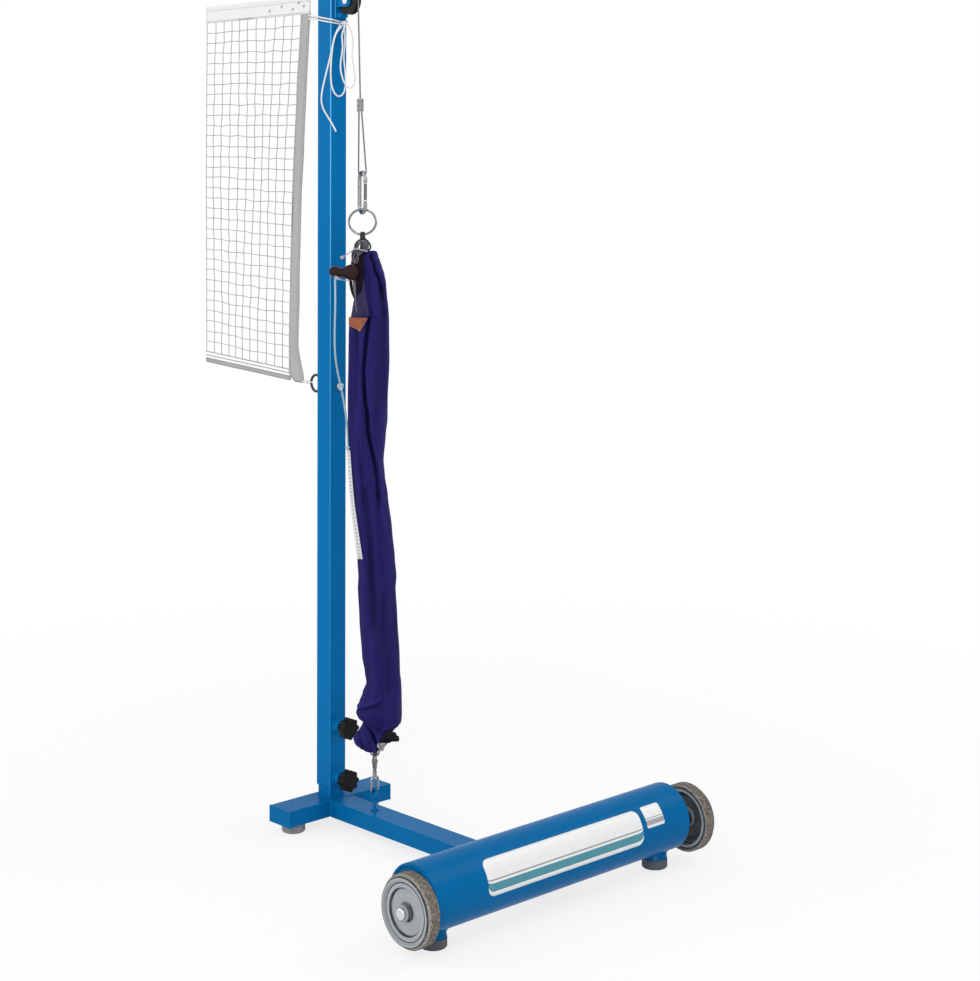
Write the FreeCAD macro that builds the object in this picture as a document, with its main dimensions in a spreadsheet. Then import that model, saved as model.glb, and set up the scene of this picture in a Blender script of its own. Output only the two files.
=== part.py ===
"""Net post with a counterweighted base, a pulley line in a cloth sleeve and the end of its net.

Millimetres. The origin is on the floor under the middle of the post. +X points along the base
arm to the counterweight, +Y along the counterweight's axle, +Z up. The net hangs in the plane
Y = 0 and runs away to -X.
"""

import FreeCAD, Part
import math
import os
import re

import Sketcher

Vector = FreeCAD.Vector
X, Y, Z = Vector(1, 0, 0), Vector(0, 1, 0), Vector(0, 0, 1)
ORIGIN = Vector(0, 0, 0)

doc = FreeCAD.newDocument("net_post")
sheet = doc.addObject("Spreadsheet::Sheet", "sizes")

SIZES = {
    "fit_gap": 0.3,
    "shaft_gap": 0.05,
    # Cross-foot and arm
    "foot_length": 240,
    "foot_width": 60,
    "foot_height": 30,
    "foot_wall": 3,
    "foot_corner": 2.5,
    "foot_end_plate": 2,
    "foot_pad_radius": 21.5,
    "foot_pad_height": 18,
    "foot_pad_reach": 89,
    "pad_bevel": 2,
    "arm_width": 50,
    "arm_wall": 3,
    "arm_end": 562,
    # Stub and post
    "stub_side": 35,
    "stub_wall": 3,
    "stub_corner": 3,
    "stub_top": 300,
    "post_side": 40,
    "post_wall": 2,
    "post_corner": 4,
    "post_bottom": 68,
    "post_top": 1546,
    "stop_plate": 4,
    "cap_thickness": 2,
    "cap_plug": 15,
    # Clamp screws
    "screw_radius": 5,
    "screw_boss_radius": 12,
    "screw_boss_length": 12,
    "lower_screw_height": 84.6,
    "upper_screw_height": 181.4,
    "knob_hub_radius": 9,
    "knob_hub_length": 11,
    "knob_radius": 16.5,
    "knob_lobe_radius": 4.5,
    "knob_lobe_reach": 15.5,
    "knob_lobes": 8,
    "knob_thickness": 15,
    "screw_root": 1,
    # Counterweight
    "weight_place": 584,
    "weight_height": 83.8,
    "weight_radius": 57.15,
    "weight_wall": 4,
    "weight_near": 311,
    "weight_far": 284,
    "weight_plate": 5,
    "boss_radius": 21.5,
    "weight_pad_radius": 22.5,
    "weight_pad_height": 16,
    "near_pad_reach": 269,
    "far_pad_reach": 256,
    # Axle and wheels
    "axle_radius": 6,
    "axle_place": 591.5,
    "axle_height": 72.5,
    "spacer_near": 1.5,
    "spacer_far": 36,
    "wheel_width": 25,
    "bush_radius": 9,
    "hub_radius": 13,
    "hub_lift": 2,
    "face_depth": 2,
    "well_radius": 38.5,
    "well_slope": 2.5,
    "well_depth": 6,
    "groove_radius": 44.5,
    "groove_width": 2,
    "groove_depth": 1,
    "rim_radius": 50.5,
    "rim_wall": 4,
    "web_thickness": 4,
    "flange_radius": 54.3,
    "flange_width": 4.5,
    "tyre_radius": 59,
    "tyre_shoulder": 4.5,
    "tyre_bevel": 2,
    "spacer_wall": 4,
    "cap_radius": 9.5,
    "cap_depth": 4,
    "cap_dome": 3.5,
    # Stickers on the counterweight, angles measured up from +X
    "label_length": 366,
    "label_start": -201,
    "label_arc": 60,
    "label_low_angle": -9,
    "label_thickness": 0.3,
    "label_glue": 0.15,
    "badge_length": 44,
    "badge_gap": 12,
    "badge_arc": 38,
    "badge_low_angle": 14,
    # Eye bolts
    "base_eye_place": 126,
    "base_eye_height": 78.8,
    "base_eye_radius": 8,
    "base_eye_wire": 3,
    "base_eye_collar": 7,
    "net_eye_place": 45,
    "net_eye_height": 815,
    "net_eye_radius": 15.5,
    "net_eye_wire": 2.5,
    "net_eye_shank": 4,
    "net_eye_collar": 7,
    "nut_radius": 7.5,
    "nut_height": 6.5,
    # Pulley and its bracket
    "pulley_place": 51,
    "pulley_drop": 11,
    "pulley_radius": 26,
    "pulley_width": 12,
    "pulley_bolt_radius": 4,
    "bracket_plate": 3,
    "bracket_width": 18,
    "bracket_below": 34,
    "bracket_above": 15,
    "cheek_thickness": 2.5,
    "cheek_radius": 11,
    "tab_length": 12,
    "tab_height": 8,
    "bolt_head_radius": 7,
    "bolt_head_height": 3.5,
    "bolt_end": 2,
    # Line from the net's head cord over the pulley to the ring
    "rope_radius": 1.5,
    "rope_round_pulley": 24.6,
    "rope_start_drop": 7,
    "rope_foot_place": 82.1,
    "ferrule_top": 1353,
    "ferrule_length": 24,
    "ferrule_width": 13,
    "ferrule_depth": 8,
    "loop_half_top": 2.5,
    "loop_half_width": 7.4,
    # Hanging gear: places are to the right, towards the viewer and up, turned by this angle
    "gear_turn": 50.63,
    "hook_turn": -18.2,
    "hook_right": 56.3,
    "hook_toward": 62.5,
    "hook_top": 1220,
    "hook_length": 82,
    "hook_wire": 3.75,
    "hook_bow": 14,
    "gate_wire": 3,
    "gate_rest": 5,
    "gate_swing_gap": 0.8,
    "ring_radius": 24.9,
    "ring_wire": 2.15,
    "ring_tilt": 25,
    "tie_block_width": 8,
    "tie_block_depth": 9,
    "tie_block_height": 15,
    "elastic_radius": 6,
    "elastic_foot": 149,
    # Lower snap hook
    "snap_bow": 8,
    "snap_wire": 2.2,
    "snap_top": 110,
    "snap_barrel_radius": 4,
    "snap_barrel_top": 119,
    "snap_gate_wire": 1.9,
    "snap_gate_rest": 1,
    "swivel_radius": 2.5,
    "swivel_depth": 7,
    "swivel_collar": 3.4,
    "swivel_collar_height": 4,
    "swivel_eye_top": 148.6,
    "swivel_eye_half": 4,
    "swivel_wire": 1.6,
    # Net
    "net_cut": 396,
    "net_edge_place": 65,
    "net_edge_draw": 66.3,
    "net_edge_bow": 30.3,
    "net_head_right": 1519,
    "net_head_left": 1510,
    "head_band_height": 34,
    "net_foot_left": 838,
    "net_foot_right": 823,
    "foot_tape_height": 12,
    "side_tape_width": 27,
    "corner_place": 82,
    "corner_height": 811,
    "tape_thickness": 3,
    "mesh_cord": 2,
    "mesh_thickness": 1.2,
    "mesh_columns": 11,
    "mesh_rows": 27,
    # Tie cord, pull cord, strip and toggle
    "tie_radius": 1.5,
    "tie_spread": 2.4,
    "tie_corner_inset": 3,
    "knot_radius": 6,
    "knot_right": 21,
    "knot_toward": 17,
    "knot_height": 1494,
    "pull_cord_radius": 1.8,
    "strip_width": 7,
    "strip_thickness": 1.2,
    "strip_lean": 3,
    "toggle_height": 1035,
    "toggle_toward": 105.8,
}

for line, (word, number) in enumerate(SIZES.items(), 1):
    sheet.set("A%d" % line, word)
    sheet.set("B%d" % line, str(number))
    sheet.setAlias("B%d" % line, word)
doc.recompute()


def formula(text):
    """Write a formula over the sheet's words in the form that an expression needs."""
    def word_in_sheet(match):
        return "sizes." + match.group(0) if match.group(0) in SIZES else match.group(0)
    return re.sub(r"[a-z_]+", word_in_sheet, str(text))


def value(text):
    """The number that a formula over the sheet's words gives."""
    return float(sheet.evalExpression(formula(text)))


def bind(thing, **formulas):
    for name, text in formulas.items():
        thing.setExpression(name, formula(text))
    return thing


def place(thing, x="0", y="0", z="0", axis=None, angle=0):
    """Put an object at a bound place, turned about an axis by a fixed angle."""
    turn = FreeCAD.Rotation(axis, angle) if axis else FreeCAD.Rotation()
    thing.Placement = FreeCAD.Placement(ORIGIN, turn)
    for name, text in (("x", x), ("y", y), ("z", z)):
        if str(text) != "0":
            thing.setExpression("Placement.Base." + name, formula(text))
    return thing


# The heights and places that follow from others
WHEEL_NEAR = "weight_near + spacer_near + wheel_width"
WHEEL_FAR = "weight_far + spacer_far + wheel_width"
PULLEY_HEIGHT = "post_top - pulley_drop"
ROPE_START = "net_head_right + head_band_height - rope_start_drop"
BADGE_START = "label_start + label_length + badge_gap"

PIECES = []


def piece(thing, label):
    """Name a finished sub-part and list it for export."""
    thing.Label = label
    PIECES.append(thing)
    return thing


# Part primitives and booleans

def box(name, length, width, height, x, y, z):
    """A box between x and x + length, centred on y, standing on z."""
    solid = bind(doc.addObject("Part::Box", name), Length=length, Width=width, Height=height)
    return place(solid, x, "(%s) - (%s) / 2" % (y, width), z)


def rod(name, radius, length, x="0", y="0", z="0", along=Z):
    """A cylinder that starts at a place and runs along an axis."""
    solid = bind(doc.addObject("Part::Cylinder", name), Radius=radius, Height=length)
    turn = FreeCAD.Rotation(Z, along)
    return place(solid, x, y, z, turn.Axis, math.degrees(turn.Angle))


def torus(name, radius, wire, x="0", y="0", z="0", axis=X, angle=90):
    solid = bind(doc.addObject("Part::Torus", name), Radius1=radius, Radius2=wire)
    return place(solid, x, y, z, axis, angle)


def nut(name, radius, height, x, y, z, along):
    solid = bind(doc.addObject("Part::Prism", name), Circumradius=radius, Height=height)
    solid.Polygon = 6
    turn = FreeCAD.Rotation(Z, along)
    return place(solid, x, y, z, turn.Axis, math.degrees(turn.Angle))


def cut(name, base, tool):
    result = doc.addObject("Part::Cut", name)
    result.Base, result.Tool = base, tool
    return result


def fuse(name, *solids):
    result = doc.addObject("Part::MultiFuse", name)
    result.Shapes = list(solids)
    return result


def group(name, *solids):
    """Separate solids that share one node."""
    result = doc.addObject("Part::Compound", name)
    result.Links = list(solids)
    return result


# PartDesign bodies

def new_body(name):
    return doc.addObject("PartDesign::Body", name)


def sketch_on(body, name, role, loops=(), circles=(), lift="0"):
    """A sketch on one of the body's planes, each corner and radius bound to the sheet."""
    sketch = body.newObject("Sketcher::SketchObject", name)
    plane = [item for item in body.Origin.OriginFeatures if item.Role == role][0]
    sketch.AttachmentSupport = [(plane, "")]
    sketch.MapMode = "FlatFace"
    if lift != "0":
        sketch.setExpression("AttachmentOffset.Base.z", formula(lift))
    for loop in loops:
        corners = [Vector(value(a), value(b), 0) for a, b in loop]
        first = sketch.GeometryCount
        for number, corner in enumerate(corners):
            following = corners[(number + 1) % len(corners)]
            sketch.addGeometry(Part.LineSegment(corner, following), False)
        for number, (across, upward) in enumerate(loop):
            after = first + (number + 1) % len(loop)
            sketch.addConstraint(Sketcher.Constraint("Coincident", first + number, 2, after, 1))
            fix_point(sketch, first + number, 1, across, upward)
    for across, upward, radius in circles:
        middle = Vector(value(across), value(upward), 0)
        index = sketch.addGeometry(Part.Circle(middle, Z, value(radius)), False)
        fix_point(sketch, index, 3, across, upward)
        size = sketch.addConstraint(Sketcher.Constraint("Radius", index, value(radius)))
        sketch.setExpression("Constraints[%d]" % size, formula(radius))
    return sketch


def fix_point(sketch, geometry, point, across, upward):
    """Dimension one point of a sketch from the sketch's origin."""
    for kind, text in (("DistanceX", across), ("DistanceY", upward)):
        rule = Sketcher.Constraint(kind, -1, 1, geometry, point, value(text))
        index = sketch.addConstraint(rule)
        if str(text) != "0":
            sketch.setExpression("Constraints[%d]" % index, formula(text))


def pad(body, name, sketch, length, midplane=False, backwards=False):
    feature = body.newObject("PartDesign::Pad", name)
    feature.Profile = sketch
    feature.Midplane = midplane
    feature.Reversed = backwards
    return bind(feature, Length=length)


def revolve(body, name, sketch):
    feature = body.newObject("PartDesign::Revolution", name)
    feature.Profile = sketch
    feature.ReferenceAxis = (sketch, ["V_Axis"])
    feature.Angle = 360
    return feature


def round_edges(body, name, radius, wanted):
    """Fillet the edges of the body's last feature whose middle passes a test."""
    doc.recompute()
    base = body.Tip
    names = []
    for number, edge in enumerate(base.Shape.Edges, 1):
        middle = edge.valueAt((edge.FirstParameter + edge.LastParameter) / 2)
        if wanted(edge, middle):
            names.append("Edge%d" % number)
    feature = body.newObject("PartDesign::Fillet", name)
    feature.Base = (base, names)
    return bind(feature, Radius=radius)


def rectangle(width, height, middle="0"):
    """The corner formulas of a rectangle centred on x = 0, with its middle at the given height."""
    low = "(%s) - (%s) / 2" % (middle, height)
    high = "(%s) + (%s) / 2" % (middle, height)
    left, right = "-(%s) / 2" % width, "(%s) / 2" % width
    return [(left, low), (right, low), (right, high), (left, high)]


def tube_body(name, role, width, height, wall, length, corner, lift="0", midplane=False):
    """A rectangular tube with rounded corners, padded off one of its planes."""
    body = new_body(name)
    inside = rectangle("%s - 2 * %s" % (width, wall), "%s - 2 * %s" % (height, wall))
    loops = [rectangle(width, height), inside]
    pad(body, name + "_pad", sketch_on(body, name + "_section", role, loops, lift=lift), length, midplane)
    half_width, half_height = value(width) / 2, value(height) / 2
    run = {"XY_Plane": Z, "XZ_Plane": Y, "YZ_Plane": X}[role]

    def outer_corner(edge, middle):
        across = [abs(middle.dot(axis)) for axis in (X, Y, Z) if axis != run]
        along_run = abs(edge.tangentAt(edge.FirstParameter).dot(run)) > 0.99
        return along_run and across[0] > half_width - 0.01 and across[1] > half_height - 0.01
    round_edges(body, name + "_corners", corner, outer_corner)
    return body


# Cords: straight runs joined by tangent arcs

def beside(right, toward, height):
    """A place in the hanging gear's own directions: right, towards the viewer, up."""
    turn = math.radians(value("gear_turn"))
    along = Vector(math.cos(turn), math.sin(turn), 0)
    outward = Vector(math.sin(turn), -math.cos(turn), 0)
    return along * right + outward * toward + Z * height


def cord_path(name, points, radii=None):
    """Edges of the route, with each arc as large as its two runs allow unless it is given."""
    edges, start, used = [], points[0], []
    for number in range(1, len(points) - 1):
        before, here, after = points[number - 1:number + 2]
        arriving, leaving = here - before, after - here
        shorter = min(arriving.Length, leaving.Length)
        arriving.normalize()
        leaving.normalize()
        half = arriving.getAngle(leaving) / 2
        radius = (radii or {}).get(number, 0.45 * shorter / math.tan(half))
        trim = radius * math.tan(half)
        inward = leaving - arriving
        inward.normalize()
        middle = here + inward * (radius / math.cos(half) - radius)
        edges.append(Part.LineSegment(start, here - arriving * trim).toShape())
        edges.append(Part.Arc(here - arriving * trim, middle, here + leaving * trim).toShape())
        start = here + leaving * trim
        used.append(radius)
    edges.append(Part.LineSegment(start, points[-1]).toShape())
    print("%s radii: %s" % (name, ", ".join("%.0f" % radius for radius in used)))
    return Part.Wire(edges)


def cord_tube(name, points, radius, radii=None):
    """A round tube along a route; its volume must be its section times its length."""
    path = cord_path(name, points, radii)
    run = path.Edges[0].tangentAt(path.Edges[0].FirstParameter)
    ring = Part.Wire(Part.makeCircle(radius, points[0], run))
    tube = path.makePipeShell([ring], True, False)
    ratio = tube.Volume / (math.pi * radius ** 2 * path.Length)
    print("%s length %.0f, volume ratio %.3f" % (name, path.Length, ratio))
    assert 0.98 < ratio < 1.02, name
    return tube


def shaped(name, shape):
    """An object that holds a shape made with Part's own functions."""
    thing = doc.addObject("Part::Feature", name)
    thing.Shape = shape
    return thing


def cross_foot():
    body = tube_body("foot", "XZ_Plane", "foot_width", "foot_height", "foot_wall", "foot_length",
                     "foot_corner", midplane=True)
    piece(place(body, z="foot_pad_height + foot_height / 2"), "cross_foot")
    plates = []
    for name, side in (("near", -1), ("far", 1)):
        middle = "%d * (foot_length + foot_end_plate) / 2" % side
        plates.append(box("foot_plate_" + name, "foot_width", "foot_end_plate", "foot_height",
                          "-foot_width / 2", middle, "foot_pad_height"))
    piece(group("foot_plates", *plates), "foot_end_plates")
    for name, side in (("near", -1), ("far", 1)):
        rubber = turned_pad("foot_pad_" + name, "foot_pad_radius", "foot_pad_height")
        piece(place(rubber, y="%d * foot_pad_reach" % side), "cross_foot_pad_" + name)


def turned_pad(name, radius, height):
    """A rubber foot: a disc with its floor edge bevelled, standing on z = 0."""
    body = new_body(name)
    profile = [("0", "0"), ("%s - pad_bevel" % radius, "0"), (radius, "pad_bevel"),
               (radius, height), ("0", height)]
    revolve(body, name + "_turn", sketch_on(body, name + "_profile", "XZ_Plane", [profile]))
    return body


def base_arm():
    length = "arm_end - foot_width / 2"
    outer = box("arm_outer", length, "arm_width", "foot_height", "foot_width / 2", "0", "foot_pad_height")
    inner = box("arm_inner", length, "arm_width - 2 * arm_wall", "foot_height - 2 * arm_wall",
                "foot_width / 2", "0", "foot_pad_height + arm_wall")
    saddle = rod("arm_saddle", "weight_radius", "2 * arm_width", "weight_place", "-arm_width",
                 "weight_height", Y)
    tube = cut("arm_tube", outer, inner)
    piece(cut("arm", tube, saddle), "base_arm")


def stub_and_post():
    foot_top = "foot_pad_height + foot_height"
    stub = tube_body("stub", "XY_Plane", "stub_side", "stub_side", "stub_wall",
                     "stub_top - (%s)" % foot_top, "stub_corner")
    piece(place(stub, z=foot_top), "post_stub")

    body = tube_body("post", "XY_Plane", "post_side", "post_side", "post_wall",
                     "post_top - post_bottom", "post_corner")
    inner_half = value("post_side / 2 - post_wall")

    def inner_corner(edge, middle):
        upright = abs(edge.tangentAt(edge.FirstParameter).z) > 0.99
        return upright and abs(abs(middle.x) - inner_half) < 0.01 and abs(abs(middle.y) - inner_half) < 0.01
    round_edges(body, "post_inner_corners", "post_corner - post_wall", inner_corner)
    drill(body, "screw_holes", "post_side", False,
          [("lower_screw_height", "screw_radius + fit_gap"),
           ("upper_screw_height", "screw_radius + fit_gap")])
    drill(body, "eye_holes", "2 * post_side", True, [("net_eye_height", "net_eye_shank")])
    piece(place(body, z="post_bottom"), "post_tube")

    plate = new_body("stop")
    side = "post_side - 2 * post_wall"
    section = sketch_on(plate, "stop_section", "XY_Plane", [rectangle(side, side)])
    pad(plate, "stop_pad", section, "stop_plate")
    round_edges(plate, "stop_corners", "post_corner - post_wall", upright_edge)
    piece(place(plate, z="stub_top"), "post_stop_plate")

    cap = new_body("cap")
    pad(cap, "cap_plate", sketch_on(cap, "cap_outline", "XY_Plane", [rectangle("post_side", "post_side")]),
        "cap_thickness")
    round_edges(cap, "cap_corners", "post_corner", upright_edge)
    plug_side = "post_side - 2 * post_wall - 2 * fit_gap"
    chamfered = [("-a", "-b"), ("a", "-b"), ("b", "-a"), ("b", "a"),
                 ("a", "b"), ("-a", "b"), ("-b", "a"), ("-b", "-a")]
    half, short = "((%s) / 2)" % plug_side, "((%s) / 2 - post_corner + post_wall)" % plug_side
    plug = [tuple(text.replace("a", "#").replace("b", half).replace("#", short) for text in corner)
            for corner in chamfered]
    pad(cap, "cap_plug_pad", sketch_on(cap, "cap_plug_outline", "XY_Plane", [plug]), "cap_plug",
        backwards=True)
    piece(place(cap, z="post_top"), "post_cap")


def upright_edge(edge, middle):
    return abs(edge.tangentAt(edge.FirstParameter).z) > 0.99


def drill(body, name, depth, both_ways, holes):
    """Round holes along X through the post's walls, at heights above the floor."""
    before = body.Tip
    circles = [("0", "%s - post_bottom" % height, radius) for height, radius in holes]
    sketch = sketch_on(body, name + "_sketch", "YZ_Plane", circles=circles)
    pocket = body.newObject("PartDesign::Pocket", name)
    pocket.Profile = sketch
    pocket.Midplane = both_ways
    pocket.Reversed = not both_ways
    bind(pocket, Length=depth)
    doc.recompute()
    assert pocket.Shape.Volume < before.Shape.Volume - 1, name


def clamp_screws():
    bosses = []
    for name in ("lower", "upper"):
        height = name + "_screw_height"
        outer = rod("boss_outer_" + name, "screw_boss_radius", "screw_boss_length",
                    "post_side / 2", "0", height, X)
        bore = rod("boss_bore_" + name, "screw_radius + shaft_gap", "screw_boss_length",
                   "post_side / 2", "0", height, X)
        bosses.append(cut("screw_boss_" + name, outer, bore))
    piece(group("screw_bosses", *bosses), "knob_bosses")
    for name in ("lower", "upper"):
        piece(star_knob("knob_" + name, name + "_screw_height"), "knob_" + name)


def star_knob(name, height):
    """A lobed knob on its clamp screw, whose tip stops just off the stub."""
    body = new_body(name)
    disc = sketch_on(body, name + "_disc", "YZ_Plane", circles=[("0", "0", "knob_radius")],
                     lift="knob_hub_length")
    pad(body, name + "_head", disc, "knob_thickness")
    lobe = sketch_on(body, name + "_lobe", "YZ_Plane",
                     circles=[("0", "knob_lobe_reach", "knob_lobe_radius")], lift="knob_hub_length")
    one_lobe = pad(body, name + "_lobe_pad", lobe, "knob_thickness")
    ring = body.newObject("PartDesign::PolarPattern", name + "_lobes")
    ring.Originals = [one_lobe]
    ring.Axis = (disc, ["N_Axis"])
    ring.Angle = 360
    bind(ring, Occurrences="knob_lobes")
    body.Tip = ring
    hub = sketch_on(body, name + "_hub", "YZ_Plane", circles=[("0", "0", "knob_hub_radius")],
                    lift="fit_gap")
    pad(body, name + "_hub_pad", hub, "knob_hub_length")
    tip = "(post_side - stub_side) / 2 + screw_boss_length - fit_gap"
    stud = sketch_on(body, name + "_stud", "YZ_Plane", circles=[("0", "0", "screw_radius")],
                     lift="fit_gap + screw_root")
    pad(body, name + "_stud_pad", stud, "%s + fit_gap + screw_root" % tip, backwards=True)
    return place(body, "post_side / 2 + screw_boss_length", "0", height)


def counterweight():
    length = "weight_near + weight_far"
    outer = rod("weight_outer", "weight_radius", length, "weight_place", "-weight_near", "weight_height", Y)
    inner = rod("weight_inner", "weight_radius - weight_wall", length, "weight_place", "-weight_near",
                "weight_height", Y)
    piece(cut("weight_tube", outer, inner), "counterweight_tube")
    inside = "weight_radius - weight_wall"
    parts = (("end_near", "weight_plate", "-weight_near"),
             ("end_far", "weight_plate", "weight_far - weight_plate"),
             ("core", "%s - 2 * weight_plate" % length, "weight_plate - weight_near"))
    discs = []
    for name, thickness, start in parts:
        disc = rod(name + "_disc", inside, thickness, "weight_place", start, "weight_height", Y)
        bore = rod(name + "_bore", "axle_radius", thickness, "axle_place", start, "axle_height", Y)
        discs.append(cut(name + "_cut", disc, bore))
    piece(group("weight_ends", *discs[:2]), "counterweight_end_plates")
    piece(discs[2], "concrete_core")
    for name, place_y in (("near", "-near_pad_reach"), ("far", "far_pad_reach")):
        column = rod("pad_boss_column_" + name, "boss_radius", "weight_height - weight_pad_height",
                     "weight_place", place_y, "weight_pad_height")
        round_tool = rod("pad_boss_tool_" + name, "weight_radius", "4 * boss_radius",
                         "weight_place", "%s - 2 * boss_radius" % place_y, "weight_height", Y)
        piece(cut("pad_boss_cut_" + name, column, round_tool), "pad_boss_" + name)
        rubber = turned_pad("weight_pad_" + name, "weight_pad_radius", "weight_pad_height")
        piece(place(rubber, "weight_place", place_y), "floor_pad_" + name)
    sticker("label_plate", "label_start", "label_length", "label_low_angle", "label_arc")
    sticker("badge_plate", BADGE_START, "badge_length", "badge_low_angle", "badge_arc")


def sticker(label, start, length, low_angle, arc):
    """A thin blank plate bent round the counterweight, over part of its side."""
    thick = rod(label + "_outer", "weight_radius + label_glue + label_thickness", length,
                "weight_place", start, "weight_height", Y)
    bind(thick, Angle=arc)
    core = rod(label + "_core", "weight_radius + label_glue", length, "weight_place", start,
               "weight_height", Y)
    turn = FreeCAD.Rotation(Y, -value("%s + %s" % (low_angle, arc))).multiply(FreeCAD.Rotation(X, -90))
    thick.Placement.Rotation = turn
    piece(cut(label + "_cut", thick, core), label)


def axle_and_wheels():
    reach = "hub_lift + fit_gap + cap_depth"
    length = "%s + %s + 2 * (%s)" % (WHEEL_NEAR, WHEEL_FAR, reach)
    piece(rod("axle", "axle_radius", length, "axle_place", "-(%s) - (%s)" % (WHEEL_NEAR, reach),
              "axle_height", Y), "wheel_axle")
    near_gap = "spacer_near - fit_gap"
    far_gap = "spacer_far - fit_gap"
    spacers = []
    for name, gap, start in (("near", near_gap, "-weight_near - (%s)" % near_gap),
                             ("far", far_gap, "weight_far")):
        outer = rod("spacer_outer_" + name, "axle_radius + spacer_wall", gap, "axle_place", start,
                    "axle_height", Y)
        bore = rod("spacer_bore_" + name, "axle_radius", gap, "axle_place", start, "axle_height", Y)
        spacers.append(cut("spacer_" + name, outer, bore))
    piece(group("spacers", *spacers), "axle_spacers")
    for name, outer_face, turn in (("near", "-(%s)" % WHEEL_NEAR, 0), ("far", WHEEL_FAR, 180)):
        sign = 1 if turn else -1
        for part in (wheel_disc, wheel_tyre, wheel_bush):
            body = part(name)
            piece(place(body, "axle_place", outer_face, "axle_height", Z, turn), body.Name)
        cap = axle_cap("axle_cap_" + name)
        face = "%s + %d * (hub_lift + fit_gap)" % (outer_face, sign)
        piece(place(cap, "axle_place", face, "axle_height", Z, turn), "axle_cap_" + name)


def wheel_disc(name):
    """The plastic wheel, turned about Y; y = 0 is its outer face and +y runs inward."""
    body = new_body("wheel_disc_" + name)
    back = "well_depth + web_thickness"
    groove_end = "groove_radius + groove_width"
    groove_floor = "face_depth + groove_depth"
    profile = [("bush_radius", "-hub_lift"), ("hub_radius", "-hub_lift"), ("hub_radius", "well_depth"),
               ("well_radius - well_slope", "well_depth"), ("well_radius", "face_depth"),
               ("groove_radius", "face_depth"), ("groove_radius", groove_floor),
               (groove_end, groove_floor), (groove_end, "face_depth"),
               ("flange_radius - flange_width", "face_depth"), ("flange_radius - flange_width", "0"),
               ("flange_radius", "0"), ("flange_radius", "face_depth"), ("rim_radius", "face_depth"),
               ("rim_radius", "wheel_width"), ("rim_radius - rim_wall", "wheel_width"),
               ("rim_radius - rim_wall", back), ("hub_radius + rim_wall", back),
               ("hub_radius", "wheel_width"), ("bush_radius", "wheel_width")]
    revolve(body, body.Name + "_turn", sketch_on(body, body.Name + "_profile", "XY_Plane", [profile]))
    return body


def wheel_tyre(name):
    body = new_body("tyre_" + name)
    profile = [("rim_radius", "face_depth"), ("tyre_radius - tyre_shoulder", "face_depth"),
               ("tyre_radius", "face_depth + tyre_shoulder"), ("tyre_radius", "wheel_width - tyre_bevel"),
               ("tyre_radius - tyre_bevel", "wheel_width"), ("rim_radius", "wheel_width")]
    revolve(body, body.Name + "_turn", sketch_on(body, body.Name + "_profile", "XY_Plane", [profile]))
    return body


def wheel_bush(name):
    body = new_body("wheel_bush_" + name)
    bore = "axle_radius + shaft_gap"
    profile = [(bore, "-hub_lift"), ("bush_radius", "-hub_lift"), ("bush_radius", "wheel_width"),
               (bore, "wheel_width")]
    revolve(body, body.Name + "_turn", sketch_on(body, body.Name + "_profile", "XY_Plane", [profile]))
    return body


def axle_cap(name):
    """A domed cap pushed over the axle's end; y = 0 is its open mouth and -y runs outward."""
    body = new_body(name)
    depth = "cap_depth"
    profile = [("axle_radius", "0"), ("cap_radius", "0"), ("cap_radius", "-%s - cap_dome" % depth),
               ("0", "-%s - cap_dome" % depth), ("0", "-" + depth), ("axle_radius", "-" + depth)]
    revolve(body, name + "_turn", sketch_on(body, name + "_profile", "XY_Plane", [profile]))
    outer, radius = -value("%s + cap_dome" % depth), value("cap_radius")

    def dome_edge(edge, middle):
        return abs(middle.y - outer) < 0.01 and abs(math.hypot(middle.x, middle.z) - radius) < 0.01
    round_edges(body, name + "_dome", "cap_dome - fit_gap", dome_edge)
    return body


def eye_bolts():
    arm_top = "foot_pad_height + foot_height"
    eye = torus("base_eye", "base_eye_radius", "base_eye_wire", "base_eye_place", "0", "base_eye_height")
    stem = rod("base_eye_stem", "base_eye_wire", "base_eye_height - base_eye_radius - (%s)" % arm_top,
               "base_eye_place", "0", arm_top)
    collar = rod("base_eye_foot", "base_eye_collar", "base_eye_wire", "base_eye_place", "0", arm_top)
    piece(fuse("base_eye_fuse", eye, stem, collar), "base_eye_bolt")

    eye = torus("net_eye", "net_eye_radius", "net_eye_wire", "-net_eye_place", "0", "net_eye_height")
    start = "net_eye_radius - net_eye_place"
    length = "post_side / 2 + nut_height + net_eye_wire - (%s)" % start
    shank = rod("net_eye_shank_rod", "net_eye_shank", length, start, "0", "net_eye_height", X)
    collar = rod("net_eye_flange", "net_eye_collar", "net_eye_wire", "-post_side / 2 - net_eye_wire", "0",
                 "net_eye_height", X)
    piece(fuse("net_eye_fuse", eye, shank, collar), "net_eye_bolt")
    hexagon = nut("net_eye_hexagon", "nut_radius", "nut_height", "post_side / 2", "0", "net_eye_height", X)
    thread = rod("net_eye_nut_bore", "net_eye_shank", "nut_height", "post_side / 2", "0", "net_eye_height", X)
    piece(cut("net_eye_nut_cut", hexagon, thread), "net_eye_nut")


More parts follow.
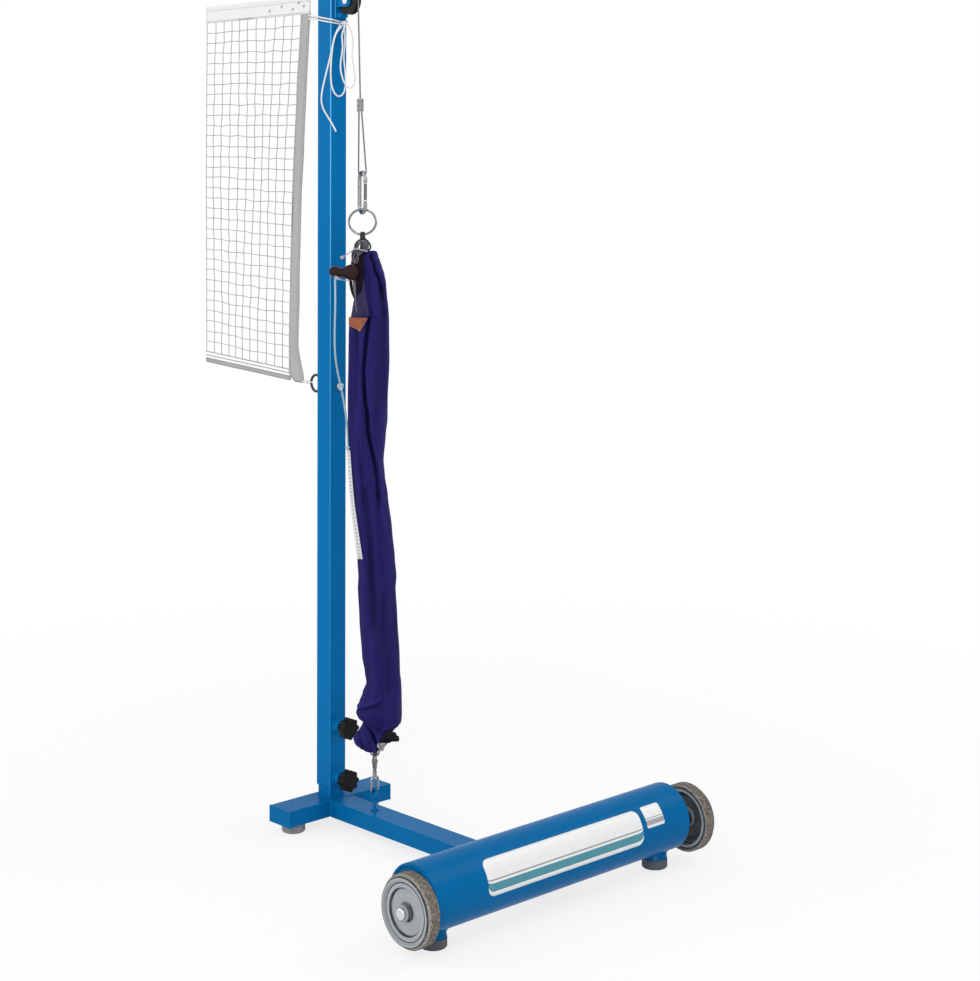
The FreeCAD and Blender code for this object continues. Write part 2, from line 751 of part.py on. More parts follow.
def pulley_and_bracket():
    face = "post_side / 2"
    front = "post_side / 2 + bracket_plate"
    foot = PULLEY_HEIGHT + " - bracket_below"
    back = box("bracket_back", "bracket_plate", "bracket_width", "bracket_above + bracket_below",
               face, "0", foot)
    tab = box("bracket_tab", "tab_length", "bracket_width", "tab_height", front, "0",
              foot + " + bracket_plate")
    solids = [back, tab]
    for name, side in (("near", -1), ("far", 1)):
        middle = "%d * (bracket_width - cheek_thickness) / 2" % side
        solids.append(box("cheek_" + name, "pulley_place - (%s)" % front, "cheek_thickness",
                          "2 * cheek_radius", front, middle, PULLEY_HEIGHT + " - cheek_radius"))
        solids.append(rod("cheek_end_" + name, "cheek_radius", "cheek_thickness", "pulley_place",
                          "%s - cheek_thickness / 2" % middle, PULLEY_HEIGHT, Y))
    bolt_hole = rod("bracket_hole", "pulley_bolt_radius", "bracket_width", "pulley_place",
                    "-bracket_width / 2", PULLEY_HEIGHT, Y)
    piece(cut("bracket", fuse("bracket_fuse", *solids), bolt_hole), "pulley_bracket")

    half = "bracket_width / 2"
    shank = rod("pulley_shank", "pulley_bolt_radius", "bracket_width + bolt_head_height + bolt_end",
                "pulley_place", "-(%s)" % half, PULLEY_HEIGHT, Y)
    head = nut("pulley_bolt_head", "bolt_head_radius", "bolt_head_height", "pulley_place",
               "-(%s) - bolt_head_height" % half, PULLEY_HEIGHT, Y)
    bolt_nut = nut("pulley_bolt_nut", "bolt_head_radius", "bolt_head_height", "pulley_place", half,
                   PULLEY_HEIGHT, Y)
    piece(fuse("pulley_bolt_fuse", shank, head, bolt_nut), "pulley_bolt")

    body = new_body("pulley_wheel")
    bore, edge = "pulley_bolt_radius + shaft_gap", "pulley_radius"
    floor = "rope_round_pulley - rope_radius - fit_gap"
    flat = "rope_radius + fit_gap"
    lip = "pulley_width / 2 - rope_radius"
    profile = [(bore, "-pulley_width / 2"), (edge, "-pulley_width / 2"), (edge, "-(%s)" % lip),
               (floor, "-(%s)" % flat), (floor, flat), (edge, lip), (edge, "pulley_width / 2"),
               (bore, "pulley_width / 2")]
    revolve(body, "pulley_turn", sketch_on(body, "pulley_profile", "XY_Plane", [profile]))
    piece(place(body, "pulley_place", "0", PULLEY_HEIGHT), "pulley")


def wire_rope():
    """The taut line from the net's head band over the pulley to the ferrule."""
    middle = Vector(value("pulley_place"), 0, value(PULLEY_HEIGHT))
    start = Vector(value("fit_gap - net_edge_place"), 0, value(ROPE_START))
    foot = Vector(value("rope_foot_place"), 0, value("ferrule_top + fit_gap"))
    radius = value("rope_round_pulley")
    corner = crossing(start, foot, middle, radius)
    return cord_tube("wire_rope", [start, corner, foot], value("rope_radius"), {1: radius})


def crossing(start, foot, middle, radius):
    """Where the two tangents meet that leave a circle over its top and down its far side."""
    def tangent_angle(point, turn):
        away = middle - point
        lean = math.asin(radius / away.Length)
        return math.atan2(away.z, away.x) + turn * lean
    first = tangent_angle(start, 1)
    second = tangent_angle(foot, -1)
    one = Vector(math.cos(first), 0, math.sin(first))
    two = Vector(math.cos(second), 0, math.sin(second))
    across = foot - start
    share = (across.x * two.z - across.z * two.x) / (one.x * two.z - one.z * two.x)
    return start + one * share


def rope_loop():
    """The line's end turned back on itself round the top of the snap hook."""
    top = value("ferrule_top - ferrule_length - fit_gap")
    bottom = value("hook_top - 2 * hook_wire - fit_gap - rope_radius")
    turn = math.radians(value("gear_turn"))
    along = Vector(math.cos(turn), math.sin(turn), 0)
    upper = Vector(value("rope_foot_place"), 0, top)
    lower = beside(value("hook_right"), value("hook_toward"), bottom)
    narrow, wide = along * value("loop_half_top"), along * value("loop_half_width")
    points = [upper - narrow, lower - wide, lower + wide, upper + narrow]
    bend = value("loop_half_width - fit_gap")
    return cord_tube("rope_loop", points, value("rope_radius"), {1: bend, 2: bend})


def line_and_hook():
    piece(shaped("rope", wire_rope()), "wire_rope")
    piece(shaped("loop", rope_loop()), "rope_loop")
    body = new_body("ferrule_body")
    outline = sketch_on(body, "ferrule_outline", "XY_Plane", [rectangle("ferrule_width", "ferrule_depth")])
    pad(body, "ferrule_pad", outline, "ferrule_length")
    round_edges(body, "ferrule_sides", "(ferrule_depth - fit_gap) / 2", upright_edge)
    body = place(body, "rope_foot_place", "0", "ferrule_top - ferrule_length", Z, value("gear_turn"))
    piece(body, "ferrule")

    middle = beside(value("hook_right"), value("hook_toward"), 0)
    hook_turn = FreeCAD.Rotation(Z, value("hook_turn"))
    bow, wire = value("hook_bow"), value("hook_wire")
    top = value("hook_top - hook_wire")
    low = value("hook_top - hook_length + hook_wire")
    rest = bow + value("gate_rest")
    gate_low, gate_high = low + rest, top - rest
    frame = open_bow(middle, hook_turn.multVec(X), bow, low, top, gate_low, gate_high, wire)
    piece(shaped("hook", frame), "upper_hook")
    side = middle + hook_turn.multVec(X) * bow
    gap = value("fit_gap")
    gate_length = gate_high - gate_low - gap - value("gate_swing_gap")
    gate = Part.makeCylinder(value("gate_wire"), gate_length, side + Z * (gate_low + gap), Z)
    piece(shaped("hook_gate", gate), "upper_hook_gate")


def open_bow(middle, across, bow, low, top, gate_low, gate_high, wire):
    """A long link of round wire, open on one side between two heights for its gate."""
    def at(side, height):
        return middle + across * side + Z * height
    path = Part.Wire([
        Part.LineSegment(at(bow, gate_low), at(bow, low + bow)).toShape(),
        Part.Arc(at(bow, low + bow), at(0, low), at(-bow, low + bow)).toShape(),
        Part.LineSegment(at(-bow, low + bow), at(-bow, top - bow)).toShape(),
        Part.Arc(at(-bow, top - bow), at(0, top), at(bow, top - bow)).toShape(),
        Part.LineSegment(at(bow, top - bow), at(bow, gate_high)).toShape()])
    ring = Part.Wire(Part.makeCircle(wire, at(bow, gate_low), Z))
    return path.makePipeShell([ring], True, False)


def ring_middle():
    """The steel ring's centre, so that its top bar rests on the snap hook's lower bow."""
    tilt = math.radians(value("ring_tilt"))
    hook_low = value("hook_top - hook_length + 2 * hook_wire + fit_gap + ring_wire")
    back = value("ring_radius") * math.sin(tilt)
    drop = value("ring_radius") * math.cos(tilt)
    return beside(value("hook_right"), value("hook_toward") + back, hook_low - drop)


def ring_foot():
    """The middle of the ring's lowest bar."""
    tilt = math.radians(value("ring_tilt"))
    turn = math.radians(value("gear_turn"))
    outward = Vector(math.sin(turn), -math.cos(turn), 0)
    radius = value("ring_radius")
    return ring_middle() + outward * (radius * math.sin(tilt)) - Z * (radius * math.cos(tilt))


def ring_and_tie_block():
    turn = FreeCAD.Rotation(Z, value("gear_turn")).multiply(FreeCAD.Rotation(X, 90 - value("ring_tilt")))
    axis = turn.multVec(Z)
    ring = Part.makeTorus(value("ring_radius"), value("ring_wire"), ring_middle(), axis)
    piece(shaped("ring", ring), "steel_ring")
    width, depth, height = value("tie_block_width"), value("tie_block_depth"), value("tie_block_height")
    block = Part.makeBox(width, depth, height, Vector(-width / 2, -depth / 2, -height * 2 / 3))
    block.rotate(ORIGIN, Z, value("gear_turn"))
    block.translate(ring_foot())
    groove = Part.makeTorus(value("ring_radius"), value("ring_wire + fit_gap"), ring_middle(), axis)
    piece(shaped("tie_block", block.cut(groove)), "sleeve_tie_block")


def elastic_ends():
    """The elastic's top under the tie block and its foot above the swivel's eye."""
    top = ring_foot() - Z * value("tie_block_height * 2 / 3 + fit_gap")
    foot = Vector(value("base_eye_place"), 0, value("elastic_foot"))
    return top, foot


# The sleeve's outline from its mouth down: height, left edge, right edge, middle's depth, half depth
SLEEVE = (
    (1071, 36, 83, 84, 17),
    (1052, 35, 89, 85, 20),
    (1025, 35, 97, 86, 23),
    (975, 33, 102, 87, 24),
    (925, 31, 105, 88, 23),
    (870, 30, 106, 88, 24),
    (800, 29, 103, 89, 25),
    (735, 29, 98, 90, 24),
    (688, 31, 95, 90, 23),
    (625, 37, 104, 90, 24),
    (560, 42, 110, 91, 25),
    (475, 48, 119, 92, 26),
    (400, 50, 121, 93, 26),
    (330, 55, 124, 94, 26),
    (281, 62, 126, 95, 24),
    (255, 53, 126, 96, 27),
    (229, 43, 126, 96, 29),
    (212, 55, 124, 97, 24),
    (193, 45, 110, 97, 25),
    (176, 39, 123, 97, 27),
    (162, 44, 116, 97, 22),
    (152, 60, 96, 97, 12),
)
FOLDS = 6
FOLD_DEPTH = 0.17
FOLD_DRIFT = 12
FOLD_WANDER = 0.55


def sleeve():
    """A gathered cloth tube hung from the tie block, with its long folds and an elastic inside."""
    top, foot = elastic_ends()
    rings = []
    for number, (height, left, right, depth, half_depth) in enumerate(SLEEVE):
        middle, half_width = (left + right) / 2, (right - left) / 2
        drift = FOLD_DRIFT * math.sin(number * FOLD_WANDER)

        def on_outline(degrees, scale):
            angle = math.radians(degrees)
            return beside(middle + scale * half_width * math.cos(angle),
                          depth + scale * half_depth * math.sin(angle), height)
        arcs = []
        step = 360 / FOLDS
        for fold in range(FOLDS):
            crest = fold * step
            before = on_outline(crest - step / 2 + drift, 1 - FOLD_DEPTH)
            after = on_outline(crest + step / 2 + drift, 1 - FOLD_DEPTH)
            arcs.append(Part.Arc(before, on_outline(crest, 1), after).toShape())
        rings.append(Part.Wire(arcs))
    cloth = Part.makeLoft(rings, True, True)
    run = foot - top
    bore = Part.makeCylinder(value("elastic_radius + fit_gap"), run.Length * 1.2, top - run * 0.1, run)
    return cloth.cut(bore)


def sleeve_and_elastic():
    piece(shaped("cloth", sleeve()), "sleeve")
    top, foot = elastic_ends()
    elastic = Part.makeCylinder(value("elastic_radius"), (foot - top).Length, top, foot - top)
    piece(shaped("elastic", elastic), "elastic_cord")


def lower_snap():
    middle = Vector(value("base_eye_place"), 0, 0)
    wire, bow = value("snap_wire"), value("snap_bow")
    low = value("base_eye_height + base_eye_radius - base_eye_wire - fit_gap - snap_wire")
    top = value("snap_top")
    rest = bow + value("snap_gate_rest")
    gate_low, gate_high = low + rest, top - rest
    frame = open_bow(middle, Y, bow, low, top, gate_low, gate_high, wire)
    barrel_low = top - wire
    barrel = Part.makeCylinder(value("snap_barrel_radius"), value("snap_barrel_top") - barrel_low,
                               middle + Z * barrel_low)
    bore_depth = value("swivel_depth + fit_gap")
    bore = Part.makeCylinder(value("swivel_radius + shaft_gap"), bore_depth,
                             middle + Z * (value("snap_barrel_top") - bore_depth))
    piece(shaped("snap", frame.fuse(barrel).cut(bore)), "lower_snap_body")

    gap = value("fit_gap")
    swing_gap = value("gate_swing_gap")
    gate = Part.makeCylinder(value("snap_gate_wire"), gate_high - gate_low - gap - swing_gap,
                             middle + Y * bow + Z * (gate_low + swing_gap))
    piece(shaped("snap_gate", gate), "lower_snap_gate")

    barrel_top = value("snap_barrel_top")
    collar_height = value("swivel_collar_height")
    shank = Part.makeCylinder(value("swivel_radius"), value("swivel_depth") + collar_height,
                              middle + Z * (barrel_top - value("swivel_depth")))
    collar = Part.makeCylinder(value("swivel_collar"), collar_height, middle + Z * (barrel_top + gap))
    half, loop_wire = value("swivel_eye_half"), value("swivel_wire")
    eye_top = value("swivel_eye_top") - loop_wire
    eye_low = barrel_top + collar_height

    def at(side, height):
        return middle + X * side + Z * height
    path = Part.Wire([
        Part.Arc(at(half, eye_low + half), at(0, eye_low), at(-half, eye_low + half)).toShape(),
        Part.LineSegment(at(-half, eye_low + half), at(-half, eye_top - half)).toShape(),
        Part.Arc(at(-half, eye_top - half), at(0, eye_top), at(half, eye_top - half)).toShape(),
        Part.LineSegment(at(half, eye_top - half), at(half, eye_low + half)).toShape()])
    ring = Part.Wire(Part.makeCircle(loop_wire, at(half, eye_low + half), Z))
    eye = path.makePipeShell([ring], True, False)
    piece(shaped("swivel", shank.fuse([collar, eye])), "lower_snap_swivel")


# The net

def side_edge(height):
    """The net's outer side edge at a height: drawn in towards the middle by its own weight."""
    share = (value("net_head_right") - height) / value("net_head_right - net_foot_right")
    return -value("net_edge_place") - value("net_edge_draw") * share + value("net_edge_bow") * share ** 2


def head_line(place_x):
    """The lower edge of the head band along the net."""
    share = (place_x + value("net_edge_place")) / value("net_edge_place - net_cut")
    return value("net_head_right") + share * value("net_head_left - net_head_right")


def foot_line(place_x):
    """The upper edge of the foot tape along the net."""
    share = (place_x + value("corner_place")) / value("corner_place - net_cut")
    return value("net_foot_right") + share * value("net_foot_left - net_foot_right")


def plate(points, thickness):
    """A flat plate in the plane Y = 0 from its outline's (x, z) corners."""
    corners = [Vector(x, -thickness / 2, z) for x, z in points]
    return Part.Face(Part.makePolygon(corners + corners[:1])).extrude(Y * thickness)


def mesh_corner(column, row):
    """A knot of the net, counted from the cut edge and from the head band."""
    columns, rows = value("mesh_columns"), value("mesh_rows")
    left = -value("net_cut")
    share_down = row / rows
    head, foot = value("net_head_right"), value("net_foot_right")
    right = side_edge(head + share_down * (foot - head)) - value("side_tape_width")
    place_x = left + (right - left) * column / columns
    high, low = head_line(place_x), foot_line(place_x)
    return place_x, high + (low - high) * share_down


def net_mesh():
    """The open net between its tapes as one plate with a gap in each mesh."""
    columns, rows = int(value("mesh_columns")), int(value("mesh_rows"))
    half, thickness = value("mesh_cord / 2"), value("mesh_thickness")
    right_side = [mesh_corner(columns, row) for row in range(rows + 1)]
    left_side = [mesh_corner(0, rows), mesh_corner(0, 0)]
    outline = [Vector(x, 0, z) for x, z in right_side + left_side]
    wires = [Part.makePolygon(outline + outline[:1])]
    for column in range(columns):
        for row in range(rows):
            corners = [mesh_corner(column, row), mesh_corner(column + 1, row),
                       mesh_corner(column + 1, row + 1), mesh_corner(column, row + 1)]
            moves = [(half, -half), (-half, -half), (-half, half), (half, half)]
            gap = [Vector(x + dx, 0, z + dz) for (x, z), (dx, dz) in zip(corners, moves)]
            wires.append(Part.makePolygon(gap + gap[:1]))
    sheet_face = Part.makeFace(wires, "Part::FaceMakerBullseye")
    net = sheet_face.extrude(Y * thickness)
    net.translate(Y * -thickness / 2)
    return net


def net_pieces():
    rows, columns = int(value("mesh_rows")), int(value("mesh_columns"))
    thickness, cut_x = value("tape_thickness"), -value("net_cut")
    piece(shaped("mesh", net_mesh()), "net_mesh")
    head = value("head_band_height")
    inner = [mesh_corner(columns, row) for row in range(rows + 1)]
    edge_x = -value("net_edge_place")
    band = [(cut_x, head_line(cut_x)), inner[0], (edge_x, head_line(edge_x)),
            (edge_x, head_line(edge_x) + head), (cut_x, head_line(cut_x) + head)]
    piece(shaped("band", plate(band, thickness)), "net_head_band")
    foot_x = inner[-1][0]
    strip = [(cut_x, foot_line(cut_x)), (foot_x, foot_line(foot_x)),
             (foot_x, foot_line(foot_x) - value("foot_tape_height")),
             (cut_x, foot_line(cut_x) - value("foot_tape_height"))]
    piece(shaped("foot_tape", plate(strip, thickness)), "net_foot_tape")
    heights = [z for x, z in inner[:-2]]
    outer = [(side_edge(z), z) for z in heights]
    outer[0] = (edge_x, head_line(edge_x))
    corner = (-value("corner_place"), value("corner_height"))
    tape = inner + [(foot_x, foot_line(foot_x) - value("foot_tape_height")), corner] + outer[::-1]
    piece(shaped("side_tape", plate(tape, thickness)), "net_side_tape")
    start = Vector(corner[0] + value("fit_gap"), 0, corner[1] + value("tie_radius"))
    reach = value("net_eye_place + net_eye_radius + net_eye_wire + fit_gap")
    end = Vector(-reach, 0, value("net_eye_height"))
    tie = Part.makeCylinder(value("tie_radius"), (end - start).Length, start, end - start)
    piece(shaped("corner_tie_cord", tie), "net_corner_tie")


# The white cord that ties the net's head corner round the post, knotted on the front

# Side of the post, heights at the net's edge and at the post's two corners, and the end by the knot
TIE_WRAPS = (
    (-1, 1511, 1507, 1501, (22.2, -0.6, 1497.2)),
    (-1, 1505.4, 1501.5, 1495.5, (22.2, -0.6, 1492.8)),
    (1, 1508, 1503, 1497.5, (24.3, 12, 1494)),
)


def tie_wraps():
    off = value("post_side / 2 + fit_gap + tie_radius")
    bend = value("post_corner + fit_gap + tie_radius")
    back = value("post_side / 2 - tie_corner_inset")
    spread = value("tie_spread")
    tubes = []
    for side, edge_height, back_height, front_height, end in TIE_WRAPS:
        start = Vector(side_edge(edge_height) + value("fit_gap"), side * spread, edge_height)
        route = [start, Vector(-back, side * off, back_height), Vector(off, side * off, front_height),
                 Vector(*end)]
        tubes.append(cord_tube("tie_wrap", route, value("tie_radius"), {1: bend, 2: bend}))
    return Part.makeCompound(tubes)


BOW_LEFT = (
    (15.5, 21.5, 1491), (8, 25, 1480), (2.5, 29, 1462), (-0.5, 32, 1438), (-2.5, 33, 1412),
    (-2.5, 32.5, 1388), (1, 31, 1369), (9, 28.5, 1357), (18, 25.5, 1358), (24, 22.5, 1369),
    (25.5, 20.5, 1388), (24, 20, 1408), (21, 19.7, 1430), (24, 19, 1455), (23.5, 18.6, 1474),
    (22.5, 18.5, 1487.4),
)
BOW_RIGHT = (
    (28.3, 17, 1493), (34, 17, 1484), (39, 18, 1469), (38.5, 19, 1450), (37.5, 20, 1430),
    (41, 20.5, 1409), (43.5, 21, 1391), (41, 22.5, 1377), (32.5, 25, 1371), (23, 27, 1381),
    (16.5, 28, 1400), (15, 28.3, 1418), (19, 28, 1440), (19.5, 27.5, 1458), (17, 27, 1472),
    (24, 22.2, 1489.8),
)
TAIL = (
    (18, 21, 1488), (13, 32.5, 1483), (5.5, 37.5, 1471), (1, 39, 1452), (-3.5, 38.5, 1430), (-9, 36.5, 1409),
    (-14, 34.5, 1388), (-18.5, 33, 1368), (-20.5, 32.5, 1350), (-17, 32.5, 1334), (-8.5, 33, 1320),
    (0.5, 33, 1306), (7.5, 32, 1292),
)
PULL_CORD = (
    (6, 105.8, 1025.1), (7, 106.5, 985), (5.5, 105.3, 938), (5.5, 103.5, 892), (9.5, 101.8, 858),
    (16.5, 100.2, 829), (22, 99.1, 800), (27, 98.6, 768), (29, 99.2, 738), (29.5, 100.2, 712),
)
STRIP = (
    (31, 99.2, 709), (34, 102.2, 660), (38, 105.2, 610), (45, 110.7, 556), (51, 112.7, 512),
)


def loose_cords():
    radius = value("tie_radius")
    piece(shaped("wraps", tie_wraps()), "tie_cord")
    knot = beside(value("knot_right"), value("knot_toward"), value("knot_height"))
    loops = [cord_tube("bow_loop", [beside(*point) for point in route], radius)
             for route in (BOW_LEFT, BOW_RIGHT)]
    piece(shaped("bow", Part.makeCompound([Part.makeSphere(value("knot_radius"), knot)] + loops)), "tie_bow")
    piece(shaped("tail", cord_tube("tie_tail", [beside(*point) for point in TAIL], radius)), "tie_tail")
    pull = cord_tube("pull_cord", [beside(*point) for point in PULL_CORD], value("pull_cord_radius"))
    piece(shaped("pull", pull), "pull_cord")


# The leather toggle from its small end: place to the right, half height, half depth
TOGGLE = (
    (-4, 4.5, 3.5), (-0.5, 7.8, 6), (4, 9.6, 7.4), (9, 9.2, 7.4), (13.5, 8, 6.6), (17.5, 7.6, 6),
    (22, 9.2, 6.4), (27.5, 12.2, 7.4), (34, 14, 8), (39, 13, 7.8), (43, 9, 6), (46, 4, 3),
)


def webbing_strip():
    half_width, half_thick, lean = value("strip_width / 2"), value("strip_thickness / 2"), value("strip_lean")
    rings = []
    for right, toward, height in STRIP:
        corners = [beside(right - half_width, toward - half_thick, height),
                   beside(right + half_width, toward - half_thick + lean, height),
                   beside(right + half_width, toward + half_thick + lean, height),
                   beside(right - half_width, toward + half_thick, height)]
        rings.append(Part.makePolygon(corners + corners[:1]))
    piece(shaped("strip", Part.makeLoft(rings, True, True)), "webbing_strip")


def leather_toggle():
    """Two swollen ends of rolled leather with a waist between them."""
    height, toward = value("toggle_height"), value("toggle_toward")
    rings = []
    for right, half_height, half_depth in TOGGLE:
        slant = math.sqrt(0.5)
        over = [beside(right, toward + half_depth * across, height + half_height * upward)
                for across, upward in ((1, 0), (slant, slant), (0, 1), (-slant, slant), (-1, 0),
                                       (-slant, -slant), (0, -1), (slant, -slant), (1, 0))]
        arcs = [Part.Arc(*over[first:first + 3]).toShape() for first in (0, 2, 4, 6)]
        rings.append(Part.Wire(arcs))
    piece(shaped("toggle", Part.makeLoft(rings, True, False)), "leather_toggle")


def check_and_export():
    doc.recompute()
    for thing in doc.Objects:
        assert "Invalid" not in thing.State and "Error" not in thing.State, thing.Label
    os.makedirs("parts", exist_ok=True)
    for thing in PIECES:
        shape = thing.Shape
        assert not shape.isNull() and shape.isValid(), thing.Label
        assert shape.Volume > 1, thing.Label
    for thing in PIECES:
        thing.Shape.exportStep("parts/%s.step" % thing.Label)
    print("%d pieces" % len(PIECES))


cross_foot()
base_arm()
stub_and_post()
clamp_screws()
counterweight()
axle_and_wheels()
eye_bolts()
pulley_and_bracket()
line_and_hook()
ring_and_tie_block()
sleeve_and_elastic()
lower_snap()
net_pieces()
loose_cords()
webbing_strip()
leather_toggle()
check_and_export()
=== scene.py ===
"""Looks of the net post: the net, its ties, the line with its gear, the cloth sleeve and every finish."""

import math
import random

import bmesh
import bpy
from bpy.props import FloatProperty, FloatVectorProperty, IntProperty, PointerProperty
from mathutils import Matrix, Vector, noise


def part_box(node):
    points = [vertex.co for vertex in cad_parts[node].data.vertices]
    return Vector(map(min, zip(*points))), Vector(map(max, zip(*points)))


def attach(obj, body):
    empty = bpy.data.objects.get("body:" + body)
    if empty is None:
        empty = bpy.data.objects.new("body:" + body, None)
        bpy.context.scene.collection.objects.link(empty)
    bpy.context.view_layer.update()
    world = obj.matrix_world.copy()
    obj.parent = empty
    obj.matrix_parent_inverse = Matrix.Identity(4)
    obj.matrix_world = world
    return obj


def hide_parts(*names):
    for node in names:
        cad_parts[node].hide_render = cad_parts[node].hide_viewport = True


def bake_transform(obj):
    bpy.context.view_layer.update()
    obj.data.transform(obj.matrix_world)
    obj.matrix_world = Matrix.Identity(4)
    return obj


bl_info = {
    "name": "Net post",
    "version": (1, 0, 0),
    "blender": (4, 5, 0),
    "location": "View3D > Sidebar > Net Post",
    "description": "Dresses the net post with its net, cords, sleeve and finishes",
    "category": "Object",
}

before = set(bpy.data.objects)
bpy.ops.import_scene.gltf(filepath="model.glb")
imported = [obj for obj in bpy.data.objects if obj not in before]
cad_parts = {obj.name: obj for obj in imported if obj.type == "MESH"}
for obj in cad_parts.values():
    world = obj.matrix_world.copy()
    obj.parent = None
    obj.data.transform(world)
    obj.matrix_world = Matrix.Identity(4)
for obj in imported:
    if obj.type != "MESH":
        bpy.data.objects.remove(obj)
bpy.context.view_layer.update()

X, Y, Z = Vector((1, 0, 0)), Vector((0, 1, 0)), Vector((0, 0, 1))

# The hanging gear's own directions: right and towards the viewer
GEAR_TURN = math.radians(50.63)
RIGHT = Vector((math.cos(GEAR_TURN), math.sin(GEAR_TURN), 0))
TOWARD = Vector((math.sin(GEAR_TURN), -math.cos(GEAR_TURN), 0))


def beside(right, toward, height):
    return RIGHT * right + TOWARD * toward + Z * height


# Two places beside the post, a low one and a high one
STRETCH_FOOT, STRETCH_TOP = tuple(beside(0.07, 0.09, 0.2)), tuple(beside(0.07, 0.09, 1.0))

# Places on the base: the wheels' axle, the counterweight's middle and radius, the lower snap's place
AXLE_X, AXLE_Z = 0.5915, 0.0725
WEIGHT_X, WEIGHT_Z, WEIGHT_RADIUS = 0.584, 0.0838, 0.05715
SNAP_X = 0.126


def smooth(low, high, number):
    """0 below low, 1 above high and an even slope between."""
    share = min(1.0, max(0.0, (number - low) / (high - low)))
    return share * share * (3 - 2 * share)


def hump(off, width):
    """1 at the middle and close to nothing two widths away."""
    return math.exp(-(off / width) ** 2)


def along(table, height):
    """Read a list of (height, number) pairs, highest first, at a height between them."""
    if height >= table[0][0]:
        return table[0][1]
    for (high, first), (low, second) in zip(table, table[1:]):
        if height >= low:
            return second + (first - second) * (height - low) / (high - low)
    return table[-1][1]


def angles(count):
    return [2 * math.pi * step / count for step in range(count)]


def ring(middle, across, over, count):
    """Points round an ellipse with these two half axes."""
    return [middle + across * math.cos(angle) + over * math.sin(angle) for angle in angles(count)]


def grid(rows, columns, point):
    """Rows of points, from a function of the shares down the rows and across them."""
    return [[point(row / rows, column / columns) for column in range(columns + 1)] for row in range(rows + 1)]


def curve_through(points, steps):
    """A smooth line through each of the points."""
    line = []
    last = len(points) - 1
    for number in range(last):
        before, start = points[max(number - 1, 0)], points[number]
        end, after = points[number + 1], points[min(number + 2, last)]
        bend = 2 * before - 5 * start + 4 * end - after
        turn = 3 * start - before - 3 * end + after
        for step in range(steps):
            share = step / steps
            line.append(0.5 * (2 * start + share * (end - before) + share ** 2 * bend + share ** 3 * turn))
    line.append(points[-1].copy())
    return line


def route(table, steps=8):
    """A smooth line through places given beside the post."""
    return curve_through([beside(*place) for place in table], steps)


def tapered(path, first, change, low, high):
    """A radius for each point, which changes between two shares of the path."""
    return [first + change * smooth(low, high, step / (len(path) - 1)) for step in range(len(path))]


def spaced(down, across):
    """A flat layout with even steps, for a grid's rows and places."""
    return lambda line, place: (line * down, place * across)


def centre_steps(node, steps):
    """The share of a piece's height and the middle of its box there, from its foot up."""
    low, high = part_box(node)
    for step in range(steps + 1):
        share = step / steps
        place = (low + high) / 2
        place.z = low.z + (high.z - low.z) * share
        yield share, place


# Shader maths

def maths(operation, swapped=False):
    """A call that adds one node of this operation."""
    def call(self, other=0.0):
        first, second = (other, self) if swapped else (self, other)
        return self.finish.node("ShaderNodeMath", {"operation": operation}, {0: first, 1: second})
    return call


class Wire:
    """A socket's value, so that sums of sockets are written as Python."""

    def __init__(self, finish, socket):
        self.finish, self.socket = finish, socket

    __add__, __radd__ = maths("ADD"), maths("ADD", True)
    __sub__, __rsub__ = maths("SUBTRACT"), maths("SUBTRACT", True)
    __mul__, __rmul__ = maths("MULTIPLY"), maths("MULTIPLY", True)
    __mod__ = maths("FLOORED_MODULO")
    __gt__, __lt__ = maths("GREATER_THAN"), maths("LESS_THAN")
    __abs__, sine = maths("ABSOLUTE"), maths("SINE")
    power, least = maths("POWER"), maths("MINIMUM")


class Nodes:
    """A node tree and the calls that add to it."""

    def __init__(self, tree):
        self.tree = tree

    def feed(self, socket, value):
        if isinstance(value, Wire):
            self.tree.links.new(value.socket, socket)
        else:
            socket.default_value = value

    def node(self, kind, settings, inputs, output=0):
        """Add a node: its settings first, then its inputs' values or links. Gives one output or a list."""
        made = self.tree.nodes.new(kind)
        for key, setting in settings.items():
            setattr(made, key, setting)
        for key, value in inputs.items():
            self.feed(made.inputs[key], value)
        if isinstance(output, tuple):
            return [Wire(self, made.outputs[name]) for name in output]
        return Wire(self, made.outputs[output])

    def ramp(self, value, low, high, first=0.0, last=1.0, shape="LINEAR"):
        """The first number below low and the last above high."""
        inputs = {"Value": value, "From Min": low, "From Max": high, "To Min": first, "To Max": last}
        return self.node("ShaderNodeMapRange", {"interpolation_type": shape}, inputs)

    def seen(self):
        """1 on the rays that make the picture and 0 on those that only carry light."""
        rays = ("Is Camera Ray", "Is Glossy Ray", "Is Transmission Ray")
        camera, glossy, through = self.node("ShaderNodeLightPath", {}, {}, rays)
        return (camera + glossy + through).least(1.0)


